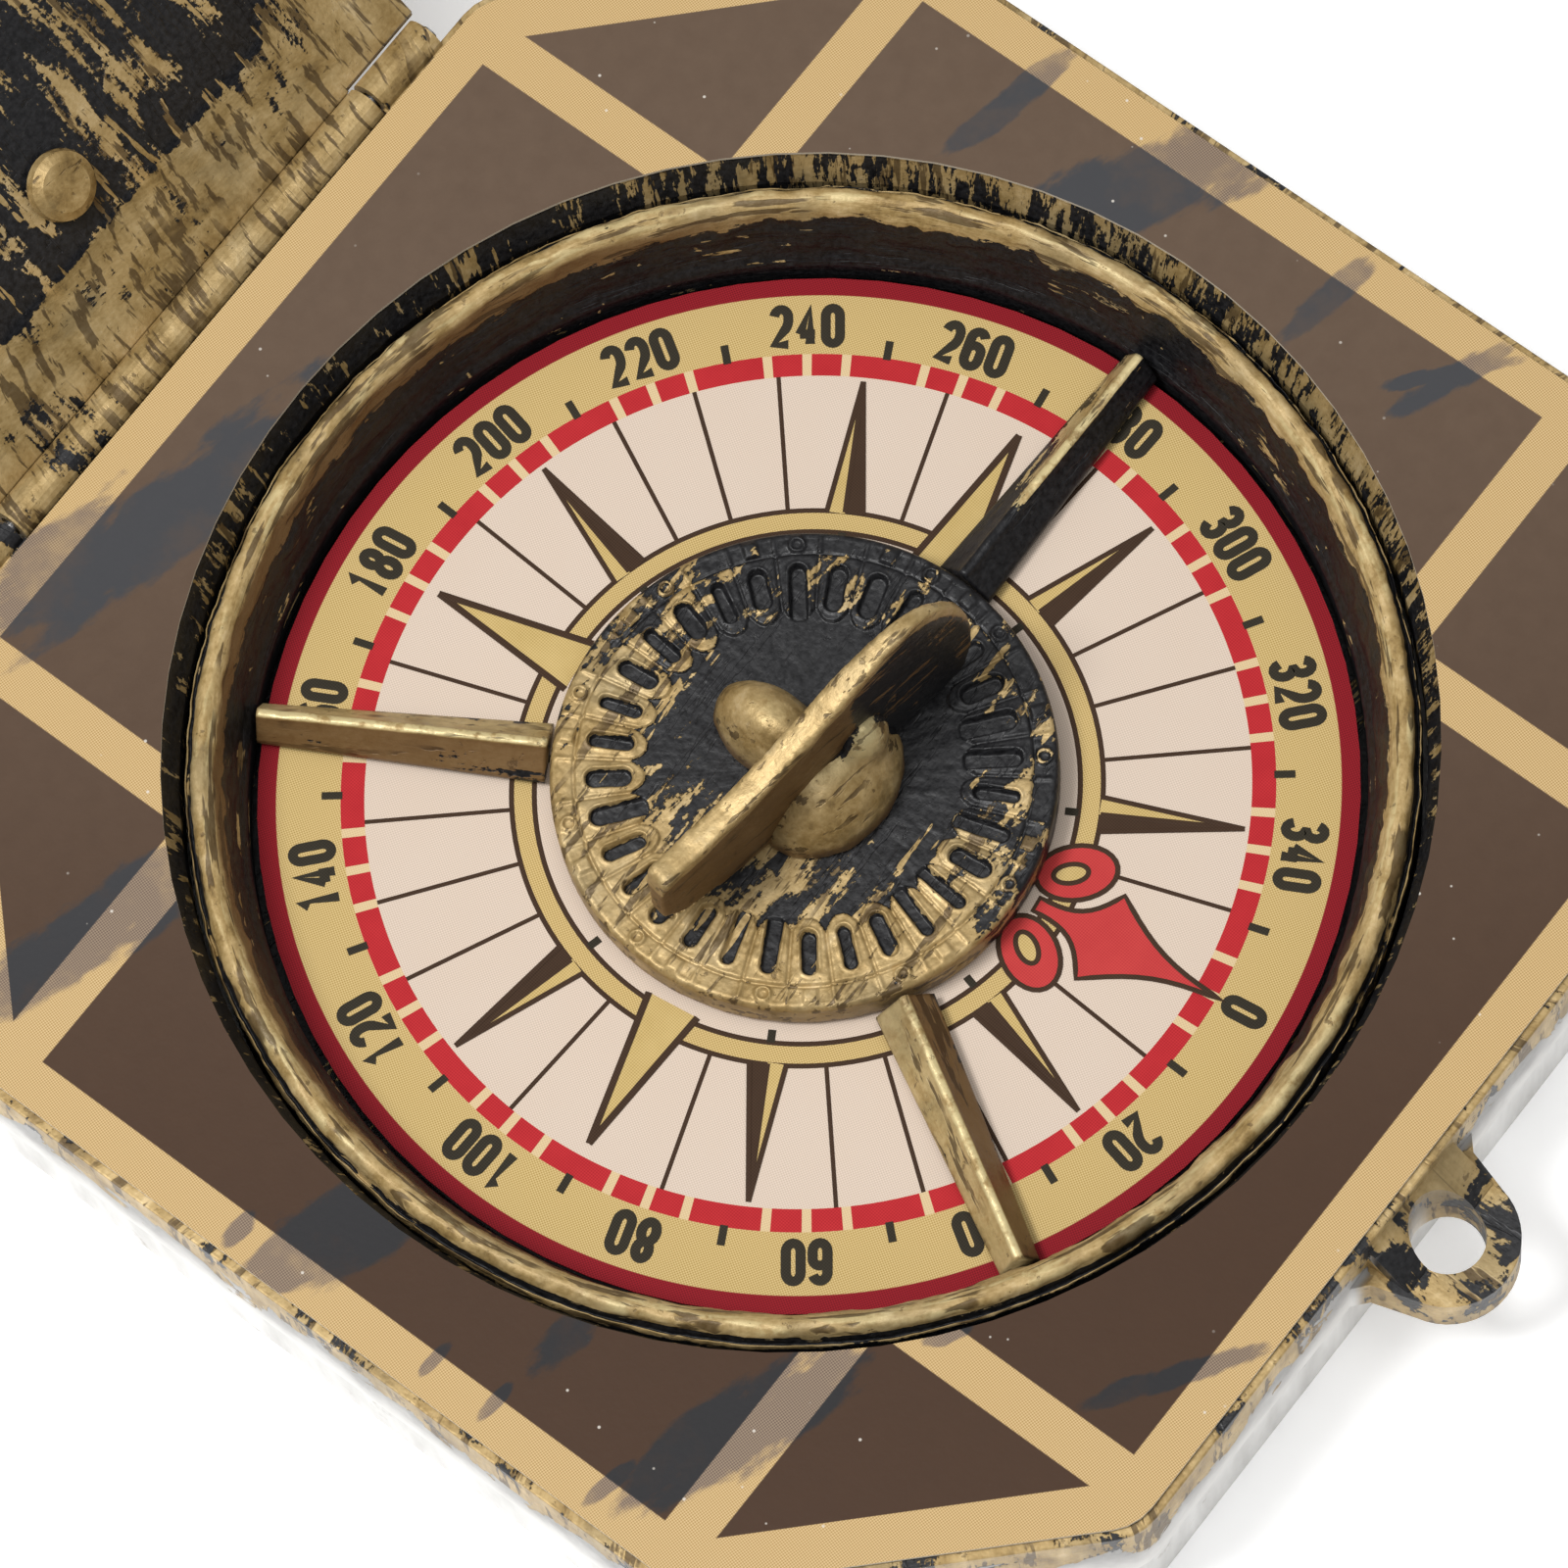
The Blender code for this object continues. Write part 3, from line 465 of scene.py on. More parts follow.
def case_paint():
    """The upper case: black with gold scratches in the well, painted edges, and bare pale sides, painted
    darker grey up towards the painted edge as a shade under the lip.
    """
    shader = Shader("case_paint", specular=0.35)
    well = shader.ease(shader.radius(), WELL_R - 0.0002, WELL_R + 0.0002, 1.0, 0.0)
    patches = shader.grain(240.0, 5.0, 0.62, 0.8)
    streaks = shader.noise(shader.around(0.033, 6.0), 1500.0, 4.0, 0.7)
    fine = shader.grain(3200.0, 3.0, 0.6)
    outside = shader.total((patches, 0.7), (streaks, 0.3), (fine, 0.1))
    inside = shader.total((patches, 0.25), (streaks, 0.75), (fine, 0.1), -0.06,
                          shader.ease(shader.x, 0.012, 0.030, -0.08, 0.02))
    level = shader.total(outside, (well, shader.math("SUBTRACT", inside, outside)))
    space = shader.around(0.033, 8.0)
    mask, paint, rough, height = gold_and_black(shader, level, streaks, fine, space, 0.6)
    lug = shader.ease(shader.y, LUG_START_Y - 0.00025, LUG_START_Y + 0.00025, 1.0, 0.0)
    ragged = shader.total(shader.z, (shader.plus(patches, -0.5), 0.012))
    painted = shader.most(shader.ease(ragged, 0.0098, 0.0101), lug, well)
    # The bare sides run from pale at the foot to darker grey near the painted edge: a painted shade under
    # the lip.
    soft = shader.total(shader.z, (shader.plus(shader.grain(300.0, 3.0), -0.5), 0.004))
    bare = shader.mix(shader.ease(soft, 0.0062, 0.0102), srgb(224, 222, 218), srgb(150, 148, 146))
    colour = shader.mix(painted, bare, paint)
    height = shader.total((shader.plus(height, 0.8), painted), (fine, 0.1))
    metal = shader.times(shader.times(mask, painted), 0.35)
    return shader.finish(colour, rough, shader.bump(height, 0.0001, 0.7), metal)


def bare_plastic():
    """Unpainted pale plastic, faintly mottled and scuffed."""
    shader = Shader("bare_plastic")
    streaks = shader.noise(shader.along((0.0, 0.0, 1.0), 5.0), 500.0, 3.0)
    fine = shader.grain(2600.0, 3.0)
    colour = shader.ramp(streaks, (0.3, srgb(198, 196, 192)), (0.7, srgb(232, 231, 228)))
    scuffs = shader.ease(shader.grain(260.0, 5.0, 0.65), 0.62, 0.70, 0.0, 0.5)
    colour = shader.mix(scuffs, colour, srgb(120, 104, 84))
    rough = shader.total(0.3, (fine, 0.25))
    return shader.finish(colour, rough, shader.bump(fine, 0.00004, 0.4))


def turned_metal(name, dark, light, roughness):
    """Plain metal with fine turning marks."""
    shader = Shader(name, metallic=1.0)
    marks = shader.noise(shader.along((0.0, 0.0, 1.0), 0.2), 4000.0, 3.0)
    patches = shader.grain(700.0, 4.0)
    colour = shader.mix(shader.total((marks, 0.5), (patches, 0.5)), dark, light)
    rough = shader.total(roughness - 0.1, (patches, 0.25))
    return shader.finish(colour, rough, shader.bump(marks, 0.00002, 0.4))


def floor_white():
    """The floor, a little self-lit, so that it stays near white under the soft light."""
    shader = Shader("floor_white", roughness=0.7, specular=0.1)
    shader.surface.inputs["Emission Color"].default_value = (1.0, 1.0, 1.0, 1.0)
    shader.surface.inputs["Emission Strength"].default_value = 0.25
    colour = shader.mix(shader.grain(6.0, 2.0), (0.93, 0.93, 0.93, 1.0), (0.96, 0.96, 0.96, 1.0))
    return shader.finish(colour, None, shader.bump(shader.grain(900.0, 2.0), 0.00002, 0.1))


# ---------------------------------------------------------------- mesh building


def link_new(name, data):
    """A new object in the scene."""
    obj = bpy.data.objects.new(name, data)
    bpy.context.scene.collection.objects.link(obj)
    return obj


def dress(mesh, material):
    mesh.materials.clear()
    mesh.materials.append(material)


def add_piece(name, mesh, material, body):
    """Puts a finished mesh in the scene, smooth and on its body."""
    obj = link_new(name, mesh)
    dress(mesh, material)
    mesh.shade_smooth()
    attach(obj, body)
    return obj


def add_casting(name, mesh, paint, node):
    """Adds a painted casting of the case in place of the model's own node."""
    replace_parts(add_piece(name, mesh, paint, "case"), node)


def mesh_of(name, work):
    """A mesh from a bmesh, which is freed."""
    mesh = bpy.data.meshes.new(name)
    work.to_mesh(mesh)
    work.free()
    return mesh


def mesh_from(name, points, faces):
    """A closed mesh from points and faces, all faces turned outwards."""
    mesh = bpy.data.meshes.new(name)
    mesh.from_pydata([tuple(point) for point in points], [], [tuple(face) for face in faces])
    work = bmesh.new()
    work.from_mesh(mesh)
    bmesh.ops.recalc_face_normals(work, faces=work.faces)
    work.to_mesh(mesh)
    work.free()
    return mesh


def skin(rings, count, closed=False):
    """Quads between neighbouring rings of count points. closed joins the last ring to the first."""
    faces = []
    for ring in range(rings if closed else rings - 1):
        here, ahead = ring * count, (ring + 1) % rings * count
        for side in range(count):
            after = (side + 1) % count
            faces.append((here + side, here + after, ahead + after, ahead + side))
    return faces


def paint_levels(mesh, **levels):
    """Stores a number for each point under each name: gild, the share of gold from 0 to 1, and a second
    number for painted light, from -1 for painted shade to 1 for a painted highlight."""
    for name, values in levels.items():
        layer = mesh.attributes.new(name, "FLOAT", "POINT")
        layer.data.foreach_set("value", np.asarray(values, dtype=np.float32))


def lumps(point, size, seed=0.0):
    """Fractal noise of about -1 to 1 whose features are size metres wide."""
    return noise.fractal(Vector(point) / size + Vector((seed, seed, seed)), 0.9, 2.1, 3) * 0.9


def baked_mesh(obj):
    """The mesh that the object's modifiers make. The object itself is removed."""
    graph = bpy.context.evaluated_depsgraph_get()
    graph.update()
    mesh = bpy.data.meshes.new_from_object(obj.evaluated_get(graph))
    mesh.transform(obj.matrix_world)
    bpy.data.objects.remove(obj)
    return mesh


def melted(name, work, voxel, rounds):
    """A bmesh's shapes melted into one soft skin, smoothed a number of rounds."""
    obj = link_new(name + "_work", mesh_of(name, work))
    remesh = obj.modifiers.new("remesh", "REMESH")
    remesh.mode = "VOXEL"
    remesh.voxel_size = voxel
    soften = obj.modifiers.new("soften", "SMOOTH")
    soften.factor = 0.6
    soften.iterations = rounds
    return baked_mesh(obj)


def roughened(mesh, size, depth, seed):
    """Moves each point along its normal by lumpy noise, as on a hand-painted casting."""
    normals = [point.normal.copy() for point in mesh.vertices]
    for point, normal in zip(mesh.vertices, normals):
        shift = lumps(point.co, size, seed) + 0.5 * lumps(point.co, size * 0.4, seed + 9.0)
        point.co += normal * depth * shift
    mesh.update()


def chaikin(points, rounds, closed):
    """An outline with its corners cut, again and again, until they are round."""
    for _ in range(rounds):
        pairs = list(zip(points, points[1:] + points[:1])) if closed else list(zip(points, points[1:]))
        cut = []
        for (ax, ay), (bx, by) in pairs:
            cut.append((0.75 * ax + 0.25 * bx, 0.75 * ay + 0.25 * by))
            cut.append((0.25 * ax + 0.75 * bx, 0.25 * ay + 0.75 * by))
        points = cut if closed else [points[0]] + cut + [points[-1]]
    return points


def evenly(points, step):
    """A closed outline with extra points, so that no side is longer than step."""
    result = []
    for (ax, ay), (bx, by) in zip(points, points[1:] + points[:1]):
        pieces = max(1, math.ceil(math.hypot(bx - ax, by - ay) / step))
        result += [(ax + (bx - ax) * i / pieces, ay + (by - ay) * i / pieces) for i in range(pieces)]
    return result


# ---------------------------------------------------------------- bezel ring


def bezel_profile():
    """The ring's cross-section: radius and height over the card, in millimetres."""
    crest = [(29.7, 1.6), (30.35, 4.9), (30.55, 5.45), (30.95, 5.78), (31.30, 5.80), (31.55, 5.66),
             (31.72, 5.35), (31.78, 5.00), (31.84, 4.62), (31.95, 4.62), (32.0, 4.85), (32.08, 4.78),
             (32.1, 3.6)]
    return chaikin(crest, 2, False) + [(32.1, -1.0), (29.3, -1.0), (29.3, 0.9)]


def make_bezel():
    steps = 540
    profile = evenly(bezel_profile(), 0.28)
    points, gild, wear = [], [], []
    for index in range(steps):
        angle = 2.0 * math.pi * index / steps
        cos, sin = math.cos(angle), math.sin(angle)
        # Weight of the ring's rear left: there the inner wall's lumps are smaller, its gold reaches further
        # down, and under the crest it is painted brown as shade.
        rear_left = smooth((0.79 * sin - 0.61 * cos + 0.2) / 0.6)
        for radius, height in profile:
            place = Vector((cos * radius * MM, sin * radius * MM, CARD_Z + height * MM))
            streak = lumps((cos * 0.004, sin * 0.004, (radius + height) * MM), 0.00045, 9.0)
            broad, small = lumps(place, 0.0019, 3.0), lumps(place, 0.0006, 7.0)
            above = min(max((height - 0.4) / 2.0, 0.0), 1.0)
            wall = 1.0 if radius < 30.45 else 0.0
            wall_lump = (0.00022 - 0.00010 * rear_left) * wall
            push = above * ((0.00011 + wall_lump) * broad + 0.00005 * small + 0.00005 * streak)
            outwards = 1.0 + push / place.length
            points.append((place.x * outwards, place.y * outwards, place.z + 0.8 * push))
            crest = smooth((height - 4.1 + 0.6 * rear_left) / 1.2)
            groove = 1.0 if 31.74 < radius < 31.97 and height > 4.3 else 0.0
            fragment = 0.62 * smooth((0.6 * broad + small - 0.55) / 0.3) * wall
            gild.append(max(crest - 0.25 * max(streak, 0.0), 0.03, fragment) * (1.0 - 0.8 * groove))
            # Painted light: the crest's top is paled in streaks as a painted highlight, and on the rear
            # left the inner wall just under the crest is turned brown as painted shade.
            shade_under_crest = rear_left * smooth((30.62 - radius) / 0.25) * smooth((height - 3.2) / 0.6)
            wear.append(0.55 * smooth((streak + 0.1) / 0.5) * smooth((height - 5.2) / 0.4) - shade_under_crest)
    mesh = mesh_from("bezel", points, skin(steps, len(profile), closed=True))
    paint_levels(mesh, gild=gild, wear=wear)
    paint = aged_paint("bezel_paint", 0.5, patch=330.0, streak_space=lambda s: s.around(0.031, 0.25),
                       scratch_space=lambda s: s.around(0.031 / 7.0, 1.0), gild_share=0.46,
                       tilt=lambda s: s.ease(s.x, -0.02, 0.03, 0.04, -0.04),
                       specular=0.22, dirt=0.9, metal=0.12)
    add_casting("bezel", mesh, paint, "bezel_ring")


# ---------------------------------------------------------------- hour disc


def stadium(along, across, inner, outer, half_width):
    """How deep a place is inside a round-ended slot, in metres: positive inside."""
    middle = min(max(along, inner + half_width), outer - half_width)
    return half_width - math.hypot(along - middle, across)


def slot_habit(index):
    """How one slot differs from the rest: its half width, its inner end and its depth."""
    wander = [noise.noise(Vector((index * 1.37 + shift, 0.4, 2.2))) for shift in (0.0, 40.0, 80.0)]
    half_width = SLOT_HALF_WIDTH * (1.0 + 0.45 * wander[0])
    inner = SLOT_INNER_R - (0.0012 if wander[1] > 0.12 else 0.0) + 0.0003 * wander[2]
    return half_width, inner, 0.00050 * (1.0 + 0.6 * min(wander[2], 0.0))


def disc_height(radius, angle, habits):
    """The disc's relief over its plain top, and how much gold it holds."""
    pitch = 2.0 * math.pi / SLOT_COUNT
    phase = (angle / pitch) % 1.0 - 0.5
    index = int(angle / pitch) % SLOT_COUNT
    across = phase * pitch * radius
    half_petal = 0.5 * pitch * radius
    height = 0.0
    inner_edge = PETAL_INNER_R + 0.0009 * (2.0 * abs(phase)) ** 2.4
    if radius < inner_edge:
        height -= 0.00022
        gild = 0.20
    elif radius < BAND_R:
        half_width, inner, deep = habits[index]
        side = half_petal - abs(across)
        height -= 0.00016 * smooth(1.0 - side / 0.00014)
        depth = stadium(radius, across, inner, SLOT_OUTER_R, half_width)
        height -= deep * smooth(0.5 + depth / 0.00012)
        height += 0.00007 * smooth(1.0 - abs(depth + 0.00014) / 0.00010)
        gild = 0.72 - 1.1 * smooth(0.5 + depth / 0.0001)
    else:
        height -= 0.00012
        middle = 0.5 * (BAND_R + DISC_R) - 0.0001
        gap = math.hypot(radius - middle, across)
        if index % 3 == 0:
            height += 0.00022 * smooth(1.0 - abs(gap - 0.00036) / 0.00016)
        elif index % 3 == 1:
            square = max(abs(radius - middle), abs(across))
            height += 0.00020 * smooth((0.00042 - square) / 0.0001)
        height += 0.00012 * smooth(1.0 - abs(half_petal - abs(across)) / 0.00016)
        gild = 0.5 + 1500.0 * max(height + 0.00012, 0.0)
    height -= 0.00014 * smooth(1.0 - abs(radius - BAND_R) / 0.00013)
    return height, gild


def dot_strip(x, y):
    """How deep a place is in the row of small pits beside the gnomon's foot, from 0 to 1."""
    start, end, count = Vector((-0.0105, 0.0005)), Vector((-0.0063, -0.0006)), 9
    pits = [start.lerp(end, index / (count - 1)) for index in range(count)]
    return max(smooth((0.00022 - math.hypot(x - pit.x, y - pit.y)) / 0.00012) for pit in pits)


def make_disc():
    steps, rim = 800, 0.0004
    angles = [2.0 * math.pi * index / steps for index in range(steps)]
    circle = [(math.cos(angle), math.sin(angle)) for angle in angles]
    habits = [slot_habit(index) for index in range(SLOT_COUNT)]
    low = DISC_LOW.z
    points, gild = [], []
    for radius in [*np.linspace(0.0003, PETAL_INNER_R - 0.0002, 22),
                   *np.linspace(PETAL_INNER_R - 0.0001, DISC_R - rim, 62)]:
        for angle, (cos, sin) in zip(angles, circle):
            x, y = radius * cos, radius * sin
            height, gold = disc_height(radius, angle, habits)
            pits = dot_strip(x, y)
            rough = 0.00005 * lumps((x, y, 0.0), 0.0013, 2.0) + 0.000025 * lumps((x, y, 0.0), 0.0005, 5.0)
            points.append((x, y, DISC_TOP + height + rough - 0.0003 * pits))
            gild.append(gold * (1.0 - pits))
    for turn in range(1, 5):
        corner = 0.5 * math.pi * turn / 4
        radius = DISC_R - rim + rim * math.sin(corner)
        z = DISC_TOP - 0.00005 - rim * (1.0 - math.cos(corner))
        points += [(radius * cos, radius * sin, z) for cos, sin in circle]
        gild += [0.62] * steps
    for level in range(1, 7):
        z = DISC_TOP - rim - (DISC_TOP - rim - low) * level / 6
        for cos, sin in circle:
            radius = DISC_R * (1.0 - 0.004 * abs(lumps((cos * DISC_R, sin * DISC_R, z), 0.0015, 4.0)))
            points.append((radius * cos, radius * sin, z))
        gild += [0.55] * steps
    faces = skin(len(points) // steps, steps)
    top, last = len(points), len(points) - steps
    points += [(0.0, 0.0, DISC_TOP - 0.00022), (0.0, 0.0, low)]
    gild += [0.1, 0.3]
    for index in range(steps):
        after = (index + 1) % steps
        faces += [(top, index, after), (top + 1, last + after, last + index)]
    mesh = mesh_from("disc_relief", points, faces)
    paint_levels(mesh, gild=gild)
    paint = aged_paint("disc_paint", 0.44, patch=380.0, streak_scale=1000.0, streak_share=0.55,
                       streak_space=lambda s: s.along((1.0, -0.1, 0.0), 6.0),
                       scratch_space=lambda s: s.along((1.0, 0.05, 0.0), 9.0),
                       gild_share=0.26, tilt=disc_tilt, dirt=0.6)
    add_casting("disc_relief", mesh, paint, "hour_disc")


def disc_tilt(shader):
    """More gold towards the disc's left."""
    return shader.plus(shader.ease(shader.x, -0.011, 0.011, 0.12, -0.10),
                       shader.ease(shader.x, -0.012, -0.007, 0.10, 0.0))


# ---------------------------------------------------------------- arms


def arm_section(width, foot, top):
    """The arm's section, as across and height: a broad foot, sloped sides, a round ridge."""
    half, ridge = width / 2.0, ARM_RIDGE_HALF
    side = [(half, foot), (half, foot + 0.0002), (half * 0.98, foot + 0.0004),
            (ridge * 1.25, top - 0.00035), (ridge * 0.8, top - 0.00008), (0.0, top)]
    outline = side + [(-x, z) for x, z in reversed(side[:-1])]
    return chaikin(outline, 2, True)


def make_arm(name, degrees, coverage, dark_sign):
    foot, top = [corner.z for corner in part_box(name)]
    stations = 90
    inner = DISC_R + 0.0003
    turn = Matrix.Rotation(math.radians(degrees), 3, "Z")
    points, gild, wear = [], [], []
    for station in range(stations + 1):
        share = station / stations
        along = inner + (ARM_OUTER_R - inner) * share
        section = arm_section(ARM_INNER_WIDTH + (ARM_OUTER_WIDTH - ARM_INNER_WIDTH) * share, foot, top)
        for across, z in section:
            point = turn @ Vector((along, across, z))
            push = 0.00006 * lumps(point, 0.0014, 6.0) + 0.00003 * lumps(point, 0.0005, 8.0)
            points.append(point + Vector((0.0, 0.0, push * smooth((z - foot) / 0.0008))))
            # Painted light: the ridge is paled as a painted highlight, and the dark side's gold is turned
            # brown as painted shade. The dark side and the inner end also get less gold.
            ridge = smooth((z - top + 0.00016) / 0.00008)
            dark_side = smooth((across * dark_sign + 0.0001) / 0.0004) * (1.0 - ridge)
            blackened = dark_side + smooth((0.40 - share) / 0.2)
            gild.append(0.35 + 0.6 * smooth((z - foot) / (top - foot) * 1.15 - 0.2)
                        - 2.4 * (1.0 - coverage) ** 2 * blackened)
            wear.append(0.3 + 0.4 * ridge - 1.3 * dark_side)
    count = len(section)
    faces = skin(stations + 1, count)
    faces += [tuple(range(count)), tuple(range(stations * count, (stations + 1) * count))]
    mesh = mesh_from(name + "_cast", points, faces)
    paint_levels(mesh, gild=gild, wear=wear)
    direction = turn @ Vector((1.0, 0.0, 0.0))
    paint = aged_paint(name + "_paint", coverage, patch=300.0, streak_scale=1300.0, streak_share=0.55,
                       streak_space=lambda s: s.along(direction, 7.0),
                       scratch_space=lambda s: s.along(direction, 6.0),
                       gild_share=0.35, specular=0.28, dirt=0.5, metal=0.2)
    add_casting(name + "_cast", mesh, paint, name)


# ---------------------------------------------------------------- gnomon


def fin_outline():
    """The fin's side view: distance along it and height over the card, in millimetres."""
    blade = [(-11.6, 2.9), (9.0, 2.9), (9.8, 4.5), (10.2, 6.5), (10.2, 8.8), (9.7, 10.9), (8.8, 12.6),
             (7.5, 13.9), (6.2, 14.4), (4.6, 14.3), (2.2, 13.5), (-1.0, 12.1), (-5.0, 10.8), (-8.9, 10.2),
             (-11.0, 10.2), (-11.6, 9.9)]
    return [(along * MM, CARD_Z + height * MM) for along, height in blade]


def upper_edge(outline):
    """The outline's upper edge, as distances along the fin and their heights."""
    upper = sorted((along, z) for along, z in outline if z > CARD_Z + FIN_EDGE_HEIGHT)
    return [along for along, z in upper], [z for along, z in upper]


def swell_top(mesh, edge):
    """Thickens the fin along its upper edge into a rounded rail."""
    for vertex in mesh.vertices:
        offset = vertex.co - FIN_CENTRE
        along = offset.dot(FIN_ALONG)
        slimmer = smooth((along - 0.0010) / 0.0075)
        below = np.interp(along, *edge) - vertex.co.z
        swell = (0.5 - 0.75 * slimmer) * smooth(1.0 - (below - 0.0005) / 0.0010)
        vertex.co += FIN_SIDE * offset.dot(FIN_SIDE) * swell


def make_fin():
    outline = chaikin(fin_outline(), 2, True)
    half = FIN_SIDE * FIN_THICKNESS / 2.0
    work = bmesh.new()
    ring = [work.verts.new(FIN_CENTRE + FIN_ALONG * along + half + Vector((0.0, 0.0, z)))
            for along, z in outline]
    moved = bmesh.ops.extrude_face_region(work, geom=[work.faces.new(ring)])
    for item in moved["geom"]:
        if isinstance(item, bmesh.types.BMVert):
            item.co -= 2.0 * half
    bmesh.ops.recalc_face_normals(work, faces=work.faces)
    mesh = melted("gnomon_blade", work, 0.00013, 10)
    edge = upper_edge(outline)
    swell_top(mesh, edge)
    roughened(mesh, 0.0016, 0.00005, 11.0)
    gild, wear = [], []
    for vertex in mesh.vertices:
        below = np.interp((vertex.co - FIN_CENTRE).dot(FIN_ALONG), *edge) - vertex.co.z
        on_side = smooth((below - 0.0005) / 0.0005)
        # The sides get less gold towards +x; their gold is turned brown as painted shade, and the top rail
        # is a little paler as a painted highlight.
        gild.append(0.95 - on_side * (0.25 + 0.7 * smooth((vertex.co.x - 0.0008) / 0.0016)))
        wear.append(0.15 * (1.0 - on_side) - on_side)
    paint_levels(mesh, gild=gild, wear=wear)
    paint = aged_paint("gnomon_paint", 0.86, streak_space=lambda s: s.along(FIN_ALONG, 6.0),
                       streak_scale=1300.0, gild_share=0.5)
    add_casting("gnomon_blade", mesh, paint, "gnomon_fin")


def make_boss(name, node, balls, side, coverage, seed):
    """A cast lump: overlapping balls melted into one skin, above the disc and on one side of the fin."""
    normal = FIN_SIDE * side
    work = bmesh.new()
    for centre, radii in balls:
        found = bmesh.ops.create_icosphere(work, subdivisions=4, radius=1.0)
        for vertex in found["verts"]:
            vertex.co = Vector([c * MM + v * r * MM for c, v, r in zip(centre, vertex.co, radii)])
    for vertex in work.verts:
        vertex.co.z = max(vertex.co.z, DISC_TOP - 0.0004)
        vertex.co += normal * max(0.0, -(vertex.co - FIN_CENTRE).dot(normal))
    mesh = melted(name, work, 0.00018, 24)
    roughened(mesh, 0.0022, 0.00009, seed)
    gild, wear = [], []
    for vertex in mesh.vertices:
        from_fin = (vertex.co - FIN_CENTRE).dot(normal)
        # Less gold right beside the fin, a painted shade in the crease, and less towards +x. The top is
        # paled as a painted highlight, and the foot's gold is turned brown as painted shade.
        beside_fin = smooth((0.0012 - from_fin) / 0.0004) * smooth((vertex.co.x + 0.0005) / 0.0008)
        gild.append(0.85 - 0.45 * smooth((vertex.co.x - 0.0030) / 0.003) - 0.8 * beside_fin)
        wear.append(0.75 * smooth((vertex.co.z - DISC_TOP - 0.0034) / 0.0012)
                    - smooth((DISC_TOP + 0.0016 - vertex.co.z) / 0.0014))
    paint_levels(mesh, gild=gild, wear=wear)
    paint = aged_paint(name + "_paint", coverage, patch=240.0, streak_share=0.4, gild_share=0.5)
    add_casting(name, mesh, paint, node)


def make_gnomon():
    make_fin()
    front = [((0.1, -1.5, 8.8), (4.6, 3.7, 4.0)), ((2.2, -2.3, 12.3), (1.6, 1.5, 1.9))]
    rear = [((0.4, 2.2, 8.8), (2.2, 3.7, 3.8))]
    make_boss("gnomon_dome", "gnomon_boss_front", front, -1.0, 0.9, 21.0)
    make_boss("gnomon_rear_lump", "gnomon_boss_rear", rear, 1.0, 0.8, 31.0)


# ---------------------------------------------------------------- compass card ink


def heading(degrees):
    """The direction of a card degree, in the frame."""
    angle = CARD_ZERO - math.radians(degrees)
    return Vector((math.cos(angle), math.sin(angle)))


def on_card(degrees, radius, aside=0.0):
    """A place on the card: a degree, a radius, and a distance clockwise of that line."""
    return heading(degrees) * radius + heading(degrees + 90.0) * aside


def ink_strokes(name, strokes, material, layer, width):
    """Lines of ink as low ribbons with round ends. Each stroke is a list of flat points."""
    curve = bpy.data.curves.new(name, "CURVE")
    curve.dimensions = "3D"
    curve.bevel_depth = width / 2.0
    curve.bevel_resolution = 1
    curve.use_fill_caps = True
    for points in strokes:
        closed = (points[0] - points[-1]).length < 1e-7
        points = points[:-1] if closed else points
        spline = curve.splines.new("POLY")
        spline.points.add(len(points) - 1)
        spline.use_cyclic_u = closed
        for target, point in zip(spline.points, points):
            target.co = (point.x, point.y, 0.0, 1.0)
    work = bmesh.new()
    work.from_mesh(baked_mesh(link_new(name, curve)))
    flatten = INK_THICKNESS * 2.0 / width
    for vertex in work.verts:
        vertex.co.z = CARD_Z + INK_THICKNESS * layer + vertex.co.z * flatten
    bmesh.ops.remove_doubles(work, verts=work.verts, dist=1e-8)
    add_ink(name, work, material)


def add_ink(name, work, material):
    mesh = mesh_of(name, work)
    add_piece(name, mesh, material, "card")
    mesh.shade_flat()


def ink_patches(name, outlines, material, layer):
    """Filled shapes of ink as very thin plates."""
    work = bmesh.new()
    for outline in outlines:
        ring = [work.verts.new((point.x, point.y, CARD_Z - INK_THICKNESS)) for point in outline]
        moved = bmesh.ops.extrude_face_region(work, geom=[work.faces.new(ring)])
        for item in moved["geom"]:
            if isinstance(item, bmesh.types.BMVert):
                item.co.z = CARD_Z + INK_THICKNESS * layer
    bmesh.ops.triangulate(work, faces=[face for face in work.faces if len(face.verts) > 4])
    bmesh.ops.recalc_face_normals(work, faces=work.faces)
    add_ink(name, work, material)


def ring_line(radius, steps=240):
    points = [heading(360.0 * index / steps) * radius for index in range(steps)]
    return points + [points[0].copy()]


def arc_block(start, end, inner, outer):
    """A block bounded by two degrees and two radii."""
    steps = max(2, round(abs(end - start) / 1.5))
    degrees = [start + (end - start) * index / steps for index in range(steps + 1)]
    return [heading(d) * outer for d in degrees] + [heading(d) * inner for d in reversed(degrees)]


def dash_blocks():
    """Red dashes: one long at each odd ten degrees, two short beside each even ten."""
    blocks = []
    for ten in range(0, 360, 20):
        blocks.append(arc_block(ten + 0.6, ten + 4.4, FIELD_R, DASH_OUTER_R))
        blocks.append(arc_block(ten - 4.4, ten - 0.6, FIELD_R, DASH_OUTER_R))
        blocks.append(arc_block(ten + 5.6, ten + 14.4, FIELD_R, DASH_OUTER_R))
    return blocks


def small_spikes():
    return [45.0 * index + 22.5 for index in range(8)]


def big_spikes():
    return [90.0, 180.0, 270.0]


